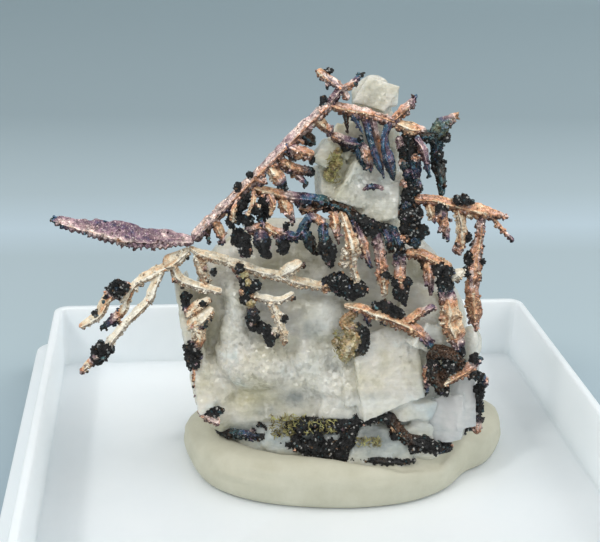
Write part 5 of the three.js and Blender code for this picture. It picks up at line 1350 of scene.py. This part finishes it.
def calcite_piece(name, bodies, voxel, soften, step):
    """One milky skin over a group of crystal bodies. Voxels and cleavage steps are in mm."""
    points, faces = joined(bodies)
    solid = to_world(points)
    solid[:, 2] = np.maximum(solid[:, 2], CALCITE_FOOT * MM)
    piece = mesh_object(name, solid, faces)
    melt = piece.modifiers.new("melt", "REMESH")
    melt.mode = "VOXEL"
    melt.voxel_size = voxel * MM
    smoothed(piece, soften)
    places, normals = vertex_rows(piece.data, "places") / MM, vertex_rows(piece.data, "normals")
    places = cleavage_steps(places, normals, step, STEP_SHARE)
    sugary = LEAST_SWELL + (1 - LEAST_SWELL) * stain_and_light_amount(places, STAINS_AND_PAINTED_LIGHT["sugar"])
    swell = 0.1 * noise_at(places, 1.0, 12) + 0.09 * noise_at(places, 0.42, 13)
    places += normals * (0.14 * noise_at(places, 2.4, 11) + sugary * swell)[:, None]
    piece.data.vertices.foreach_set("co", (places * MM).ravel())
    smoothed(piece, 1)
    piece.data.shade_smooth()
    places = vertex_rows(piece.data, "places") / MM
    for label, spots in STAINS_AND_PAINTED_LIGHT.items():
        mark = piece.data.attributes.new(label, "FLOAT", "POINT")
        mark.data.foreach_set("value", stain_and_light_amount(places, spots).astype(np.float32))
    return piece


matrix = calcite_piece("calcite_matrix_crystals", MATRIX_BODIES, voxel=0.2, soften=4, step=0.8)
crest = calcite_piece("calcite_crest_crystals", CREST_BODIES, voxel=0.135, soften=2, step=0.5)
corner = calcite_piece("calcite_clear_corner", CLEAR_BODIES, voxel=0.17, soften=1, step=0.6)
print("calcite faces:", len(matrix.data.polygons), len(crest.data.polygons), len(corner.data.polygons))

# %% [markdown]
# ## The calcite's finish
# Calcite takes light in and scatters it, so its shadows stay open and milky. A strong scatter below a
# cloudy colour does that, and one broken corner is clear enough for light to pass through it.

# %% Calcite material
SUGAR_CONTRAST, LEAST_SUGAR, STREAK_CONTRAST = 0.26, 0.25, 0.35
CALCITE_CLOUD = [(0.34, (0.52, 0.49, 0.37)), (0.46, (0.63, 0.60, 0.50)), (0.57, (0.66, 0.63, 0.56)),
                 (0.68, (0.65, 0.68, 0.64))]
# white brightens, in part as painted light; olive and dark darken, in part as painted shade
STAIN_AND_LIGHT_COLOURS = (("white", (0.685, 0.69, 0.64)), ("olive", (0.45, 0.42, 0.27)),
                 ("clear", (0.48, 0.55, 0.56)), ("dark", (0.22, 0.24, 0.23)))
STAIN_AND_LIGHT_SHARE, FRAYING = 0.9, 1.6


def calcite_material():
    """Milky calcite: a cloudy veil under its stains and its painted light and shade, with sugary faces
    and streaks.
    """
    made, tree, shader = material(
        "calcite", Roughness=0.24, IOR=1.6, Subsurface_Weight=0.6, Subsurface_Radius=(1.0, 0.9, 0.75),
        Subsurface_Scale=1.7 * MM)
    veil = ramp(texture(tree, FINE_GRAIN, Size=3.0, Detail=7.0)["Height"], CALCITE_CLOUD)
    fray = times(centred(texture(tree, FINE_GRAIN, Size=0.9)["Height"]), FRAYING)
    # stains, painted light and painted shade are mixed into the veil by their spots
    for label, colour in STAIN_AND_LIGHT_COLOURS:
        mark = mark_of(tree, label)
        amount = plus(mark, times(fray, mark), clamp=True)
        veil = mixed(times(amount, STAIN_AND_LIGHT_SHARE), veil, colour)
    sugar = texture(tree, FACETS, Size=0.3)
    sugary = plus(mark_of(tree, "sugar"), LEAST_SUGAR, clamp=True)
    own = times(times(centred(sugar["Own"]), SUGAR_CONTRAST), sugary)
    lines = times(centred(texture(tree, STREAKS)["Height"]), STREAK_CONTRAST)
    veil = mixed(1.0, veil, plus(plus(own, lines), 1.0), "MULTIPLY")
    wire(veil, shader.inputs["Base Color"])
    chips = times(texture(tree, FACETS, Size=1.1)["Height"], 0.8)
    relief = plus(times(plus(sugar["Height"], chips), sugary), lines)
    bump(shader, relief, strength=0.9, distance=0.3 * MM)
    return made


CLEAR_MILK = [(0.34, (0.70, 0.75, 0.76)), (0.62, (0.94, 0.95, 0.94))]
VEIL_SHARE = 0.5


def clear_material():
    """Clear calcite with a little milk in it."""
    made, tree, shader = material(
        "clear_calcite", Roughness=0.18, IOR=1.6, Transmission_Weight=0.5, Subsurface_Weight=1.0,
        Subsurface_Radius=(1.0, 1.0, 1.0), Subsurface_Scale=2.0 * MM)
    veils = times(centred(texture(tree, STREAKS)["Height"]), VEIL_SHARE)
    thick = plus(texture(tree, FINE_GRAIN, Size=3.0)["Height"], veils)
    wire(ramp(thick, CLEAR_MILK), shader.inputs["Base Color"])
    bump(shader, texture(tree, FACETS, Size=0.7)["Height"], strength=0.3, distance=0.15 * MM)
    tint = node(tree, "ShaderNodeVolumeAbsorption", Color=(0.80, 0.88, 0.92, 1), Density=30.0)
    wire(tint.outputs["Volume"], tree.nodes["Material Output"].inputs["Volume"])
    return made


CALCITE = calcite_material()
stands_for(corner, "calcite_matrix", clear_material())
stands_for(matrix, "calcite_matrix", CALCITE)
stands_for(crest, "calcite_crest", CALCITE)
print("stains in the calcite:", [label for label, _ in STAIN_AND_LIGHT_COLOURS])

# %% [markdown]
# ## Putty and box
# The putty is a lump pressed into a thick pancake by hand. A closed curve gives its foot, a short
# profile its rounded edge, and low noise the dents that fingers leave.

# %% Putty
PUTTY_EDGE = [
    (-13.0, 8.5, 4.0), (-12.9, 4.2, 4.0), (-11.0, -0.6, 4.0), (-6.4, -3.6, 4.2), (0.8, -5.0, 4.4),
    (7.0, -4.6, 4.4), (11.5, -2.6, 4.4), (14.4, 0.3, 4.4), (17.0, 2.0, 4.6), (19.0, 5.2, 4.8),
    (19.2, 9.6, 4.2), (16.5, 13.6, 4.0), (8.0, 16.6, 4.2), (-2.0, 16.8, 4.2), (-10.0, 14.0, 4.1)]
PUTTY_MIDDLE = np.array([3.0, 6.2])
FOOT_LINE = [(-9.9, 3.3), (-8.1, 2.1), (-5.3, 0.4), (-2.6, -0.9), (1.1, -2.0), (3.8, -2.9), (6.6, -3.4),
             (8.6, -3.0), (10.7, -2.2), (12.5, -0.6)]
GROOVE_DEPTH, GROOVE_HALF_WIDTH = 0.9, 0.7
DENTS = ((0.22, 4.0, 21), (0.1, 1.6, 22), (0.03, 0.5, 23))  # depth and size in mm, and seed
PUTTY_SECTION = [(0.955, 0), (0.985, 0.08), (1.0, 0.24), (1.0, 0.5), (0.98, 0.7), (0.94, 0.86),
                 (0.88, 0.96), (0.8, 0.98), (0.7, 0.98), (0.55, 0.97), (0.4, 0.96), (0.25, 0.96),
                 (0.1, 0.96)]  # share of the way out, share of the height
PUTTY_TONES = [(0.3, (0.47, 0.455, 0.35)), (0.7, (0.54, 0.525, 0.42))]


def putty_lump():
    edge = np.array(PUTTY_EDGE)
    around = smooth_line(np.vstack([edge[-1], edge, edge[:2]]), [12] * (len(edge) + 2))[12:-25]
    rings = smooth_line(np.array(PUTTY_SECTION), [3] * (len(PUTTY_SECTION) - 1))
    points = []
    for out, up in rings:
        flat = PUTTY_MIDDLE + (around[:, :2] - PUTTY_MIDDLE) * out
        points.append(np.column_stack([flat, around[:, 2] * up]))
    points = np.vstack(points)
    lift = np.clip(points[:, 2] / 1.5, 0, 1)
    dents = sum(depth * noise_at(points, size, seed) for depth, size, seed in DENTS)
    dents += 0.16 * noise_at(points * (0.3, 0.3, 1.6), 0.8, 24)
    points[:, :2] += (points[:, :2] - PUTTY_MIDDLE) * (dents * lift * 0.05)[:, None]
    points[:, 2] += dents * lift * 0.8
    along_foot = np.interp(points[:, 0], *np.array(FOOT_LINE).T)
    groove = np.exp(-((points[:, 1] - along_foot) / GROOVE_HALF_WIDTH) ** 2) * lift
    from_left, from_right = points[:, 0] - FOOT_LINE[0][0], FOOT_LINE[-1][0] - points[:, 0]
    ends = np.clip(from_left / 2, 0, 1) * np.clip(from_right / 2, 0, 1)
    points[:, 2] -= GROOVE_DEPTH * groove * ends
    points[:, 2] += FLOOR_TOP
    return points * MM, skin_faces(len(rings), len(around))


def putty_material():
    made, tree, shader = material("putty", Roughness=0.75)
    cloud = texture(tree, FINE_GRAIN, Size=2.5)["Height"]
    wire(ramp(cloud, PUTTY_TONES), shader.inputs["Base Color"])
    bump(shader, texture(tree, FINE_GRAIN, Size=0.5)["Height"], strength=0.3, distance=0.12 * MM)
    return made


putty = mesh_object("putty_lump", *putty_lump(), smooth=True)
stands_for(putty, "putty", putty_material())
print("putty points:", len(putty.data.vertices))

# %% [markdown]
# The box base is one injection-moulded tray. Its section is short, so it is a stack of rounded squares,
# with extra rings where the real edges are softened. That keeps the walls flat and the corners round.

# %% Box base
BOX, RIM, WALL = 60.0, 55.2, 0.87
OUTER, OUTSIDE, INSIDE = BOX / 2, RIM / 2, RIM / 2 - WALL  # half widths of the ledge and the wall's faces
LEDGE_TOP, RIM_TOP = 2.44, 8.24
SOFT = 0.18  # radius of the softened edges
TURN = SOFT * 0.3  # how far the middle of a softened edge lies inside the sharp one
BOX_SECTION = [  # half side, corner radius, height, from the underside's edge round to the floor
    (OUTER - SOFT, 2.0, 0.0), (OUTER - TURN, 2.15, TURN), (OUTER, 2.2, SOFT),
    (OUTER, 2.2, LEDGE_TOP - SOFT), (OUTER - TURN, 2.15, LEDGE_TOP - TURN),
    (OUTER - SOFT, 2.0, LEDGE_TOP), (OUTSIDE + SOFT, 1.8, LEDGE_TOP),
    (OUTSIDE + TURN, 1.65, LEDGE_TOP + TURN), (OUTSIDE, 1.6, LEDGE_TOP + SOFT),
    (OUTSIDE, 1.6, RIM_TOP - SOFT), (OUTSIDE - TURN, 1.55, RIM_TOP - TURN),
    (OUTSIDE - SOFT, 1.4, RIM_TOP), (INSIDE + SOFT, 0.9, RIM_TOP), (INSIDE + TURN, 0.8, RIM_TOP - TURN),
    (INSIDE, 0.75, RIM_TOP - SOFT), (INSIDE, 0.75, FLOOR_TOP + SOFT),
    (INSIDE - TURN, 0.7, FLOOR_TOP + TURN), (INSIDE - SOFT, 0.6, FLOOR_TOP)]
CORNER_STEPS = 10
PLASTIC_TONES = [(0.3, (0.83, 0.895, 0.94)), (0.7, (0.865, 0.92, 0.96))]


def rounded_square(half, corner, height):
    ring = []
    for quarter in range(4):
        turns = math.pi / 2 * (quarter + np.linspace(0, 1, CORNER_STEPS)) - math.pi / 2
        middle = math.pi / 2 * quarter - math.pi / 4
        cx, cy = (half - corner) * math.sqrt(2) * np.array([math.cos(middle), math.sin(middle)])
        ring.append(np.column_stack([cx + corner * np.cos(turns), cy + corner * np.sin(turns),
                                     np.full(CORNER_STEPS, height)]))
    return np.vstack(ring)


def plastic_material():
    made, tree, shader = material(
        "white_plastic", Roughness=0.28, Subsurface_Weight=0.6, Subsurface_Radius=(1.0, 1.0, 1.0),
        Subsurface_Scale=3.0 * MM)
    cloud = texture(tree, FINE_GRAIN, Size=9.0)["Height"]
    wire(ramp(cloud, PLASTIC_TONES), shader.inputs["Base Color"])
    bump(shader, cloud, strength=0.1, distance=0.3 * MM)
    return made


tray_points = np.vstack([rounded_square(*level) for level in BOX_SECTION]) * MM
tray = mesh_object("box_tray", tray_points, skin_faces(len(BOX_SECTION), 4 * CORNER_STEPS), smooth=True)
stands_for(tray, "box_base", plastic_material())
print("box base:", len(BOX_SECTION), "rings of", 4 * CORNER_STEPS, "points")

# %% [markdown]
# ## Stage and light
# A pale sweep of paper stands in for the table and the wall behind the box. Its colour is painted
# darker towards the back, as shade where the light falls off, with a painted brighter band behind the
# box. Broad lights from the left, the right and the front give soft light with open shadows, a fourth
# one keeps the paper behind the box bright, and one small lamp puts glints on the metal.

# %% Stage
PAPER_DEPTH, PAPER_HALF_WIDTH = 0.3, 0.9
# painted light: the paper is painted darker towards the back, as shade where the light falls off, with a
# painted brighter band behind the box
PAPER_TONE_AND_LIGHT = [(0.0, (0.38, 0.48, 0.54)), (0.12, (0.40, 0.49, 0.53)), (0.22, (0.39, 0.475, 0.515)),
               (0.26, (0.455, 0.555, 0.62)), (0.32, (0.39, 0.475, 0.515)), (0.5, (0.29, 0.365, 0.40)),
               (1.0, (0.297, 0.38, 0.417))]
SWEEP = [(-0.6, 0.0), (0.2, 0.0), (0.33, 0.012), (0.39, 0.05), (0.42, 0.11), (0.43, 0.6)]


def stage():
    rows = smooth_line(np.array(SWEEP), [8] * (len(SWEEP) - 1))
    points = [(x, y, z) for y, z in rows for x in (-PAPER_HALF_WIDTH, PAPER_HALF_WIDTH)]
    faces = [(2 * i, 2 * i + 1, 2 * i + 3, 2 * i + 2) for i in range(len(rows) - 1)]
    paper = mesh_object("paper", np.array(points), faces, smooth=True)
    made, tree, shader = material("paper", Roughness=0.9)
    axes = node(tree, "ShaderNodeSeparateXYZ", Vector=object_place(tree))
    away = times(axes.outputs["Y"], 1 / PAPER_DEPTH, clamp=True)
    wire(ramp(away, PAPER_TONE_AND_LIGHT), shader.inputs["Base Color"])
    paper.data.materials.append(made)
    print("paper:", len(rows), "rows, toned over", PAPER_DEPTH, "m")


# %% Lights
BROAD, SMALL = 0.25, 0.04  # side of a light, m
MIDDLE = (0, 0, 0.02)


def area_light(name, stands_at, aim, side, watts, colour):
    data = bpy.data.lights.new(name, "AREA")
    data.shape = "RECTANGLE"
    data.size = data.size_y = side
    data.energy = watts
    data.color = colour
    light = bpy.data.objects.new(name, data)
    light.location = stands_at
    light.rotation_euler = (Vector(stands_at) - Vector(aim)).to_track_quat("Z", "Y").to_euler()
    bpy.context.scene.collection.objects.link(light)


stage()
area_light("softbox_left", (-0.24, -0.05, 0.34), MIDDLE, BROAD, 0.33, (1.0, 0.995, 0.98))
area_light("softbox_front", (0.08, -0.34, 0.22), (0, 0.02, 0.02), BROAD, 0.2, (0.97, 0.99, 1.0))
area_light("softbox_right", (0.28, -0.06, 0.30), MIDDLE, BROAD, 0.33, (0.99, 1.0, 1.0))
area_light("softbox_back", (0.30, 0.12, 0.30), (0.14, 0.18, 0), BROAD, 0.35, (0.97, 0.99, 1.0))
area_light("glint_lamp", (-0.20, -0.16, 0.30), MIDDLE, SMALL, 0.32, (1.0, 0.99, 0.96))
world = bpy.data.worlds.new("room")
world.use_nodes = True
room = world.node_tree.nodes["Background"]
room.inputs["Color"].default_value = (0.85, 0.855, 0.85, 1)
room.inputs["Strength"].default_value = 0.8
bpy.context.scene.world = world
bpy.context.scene.view_settings.view_transform = "Standard"
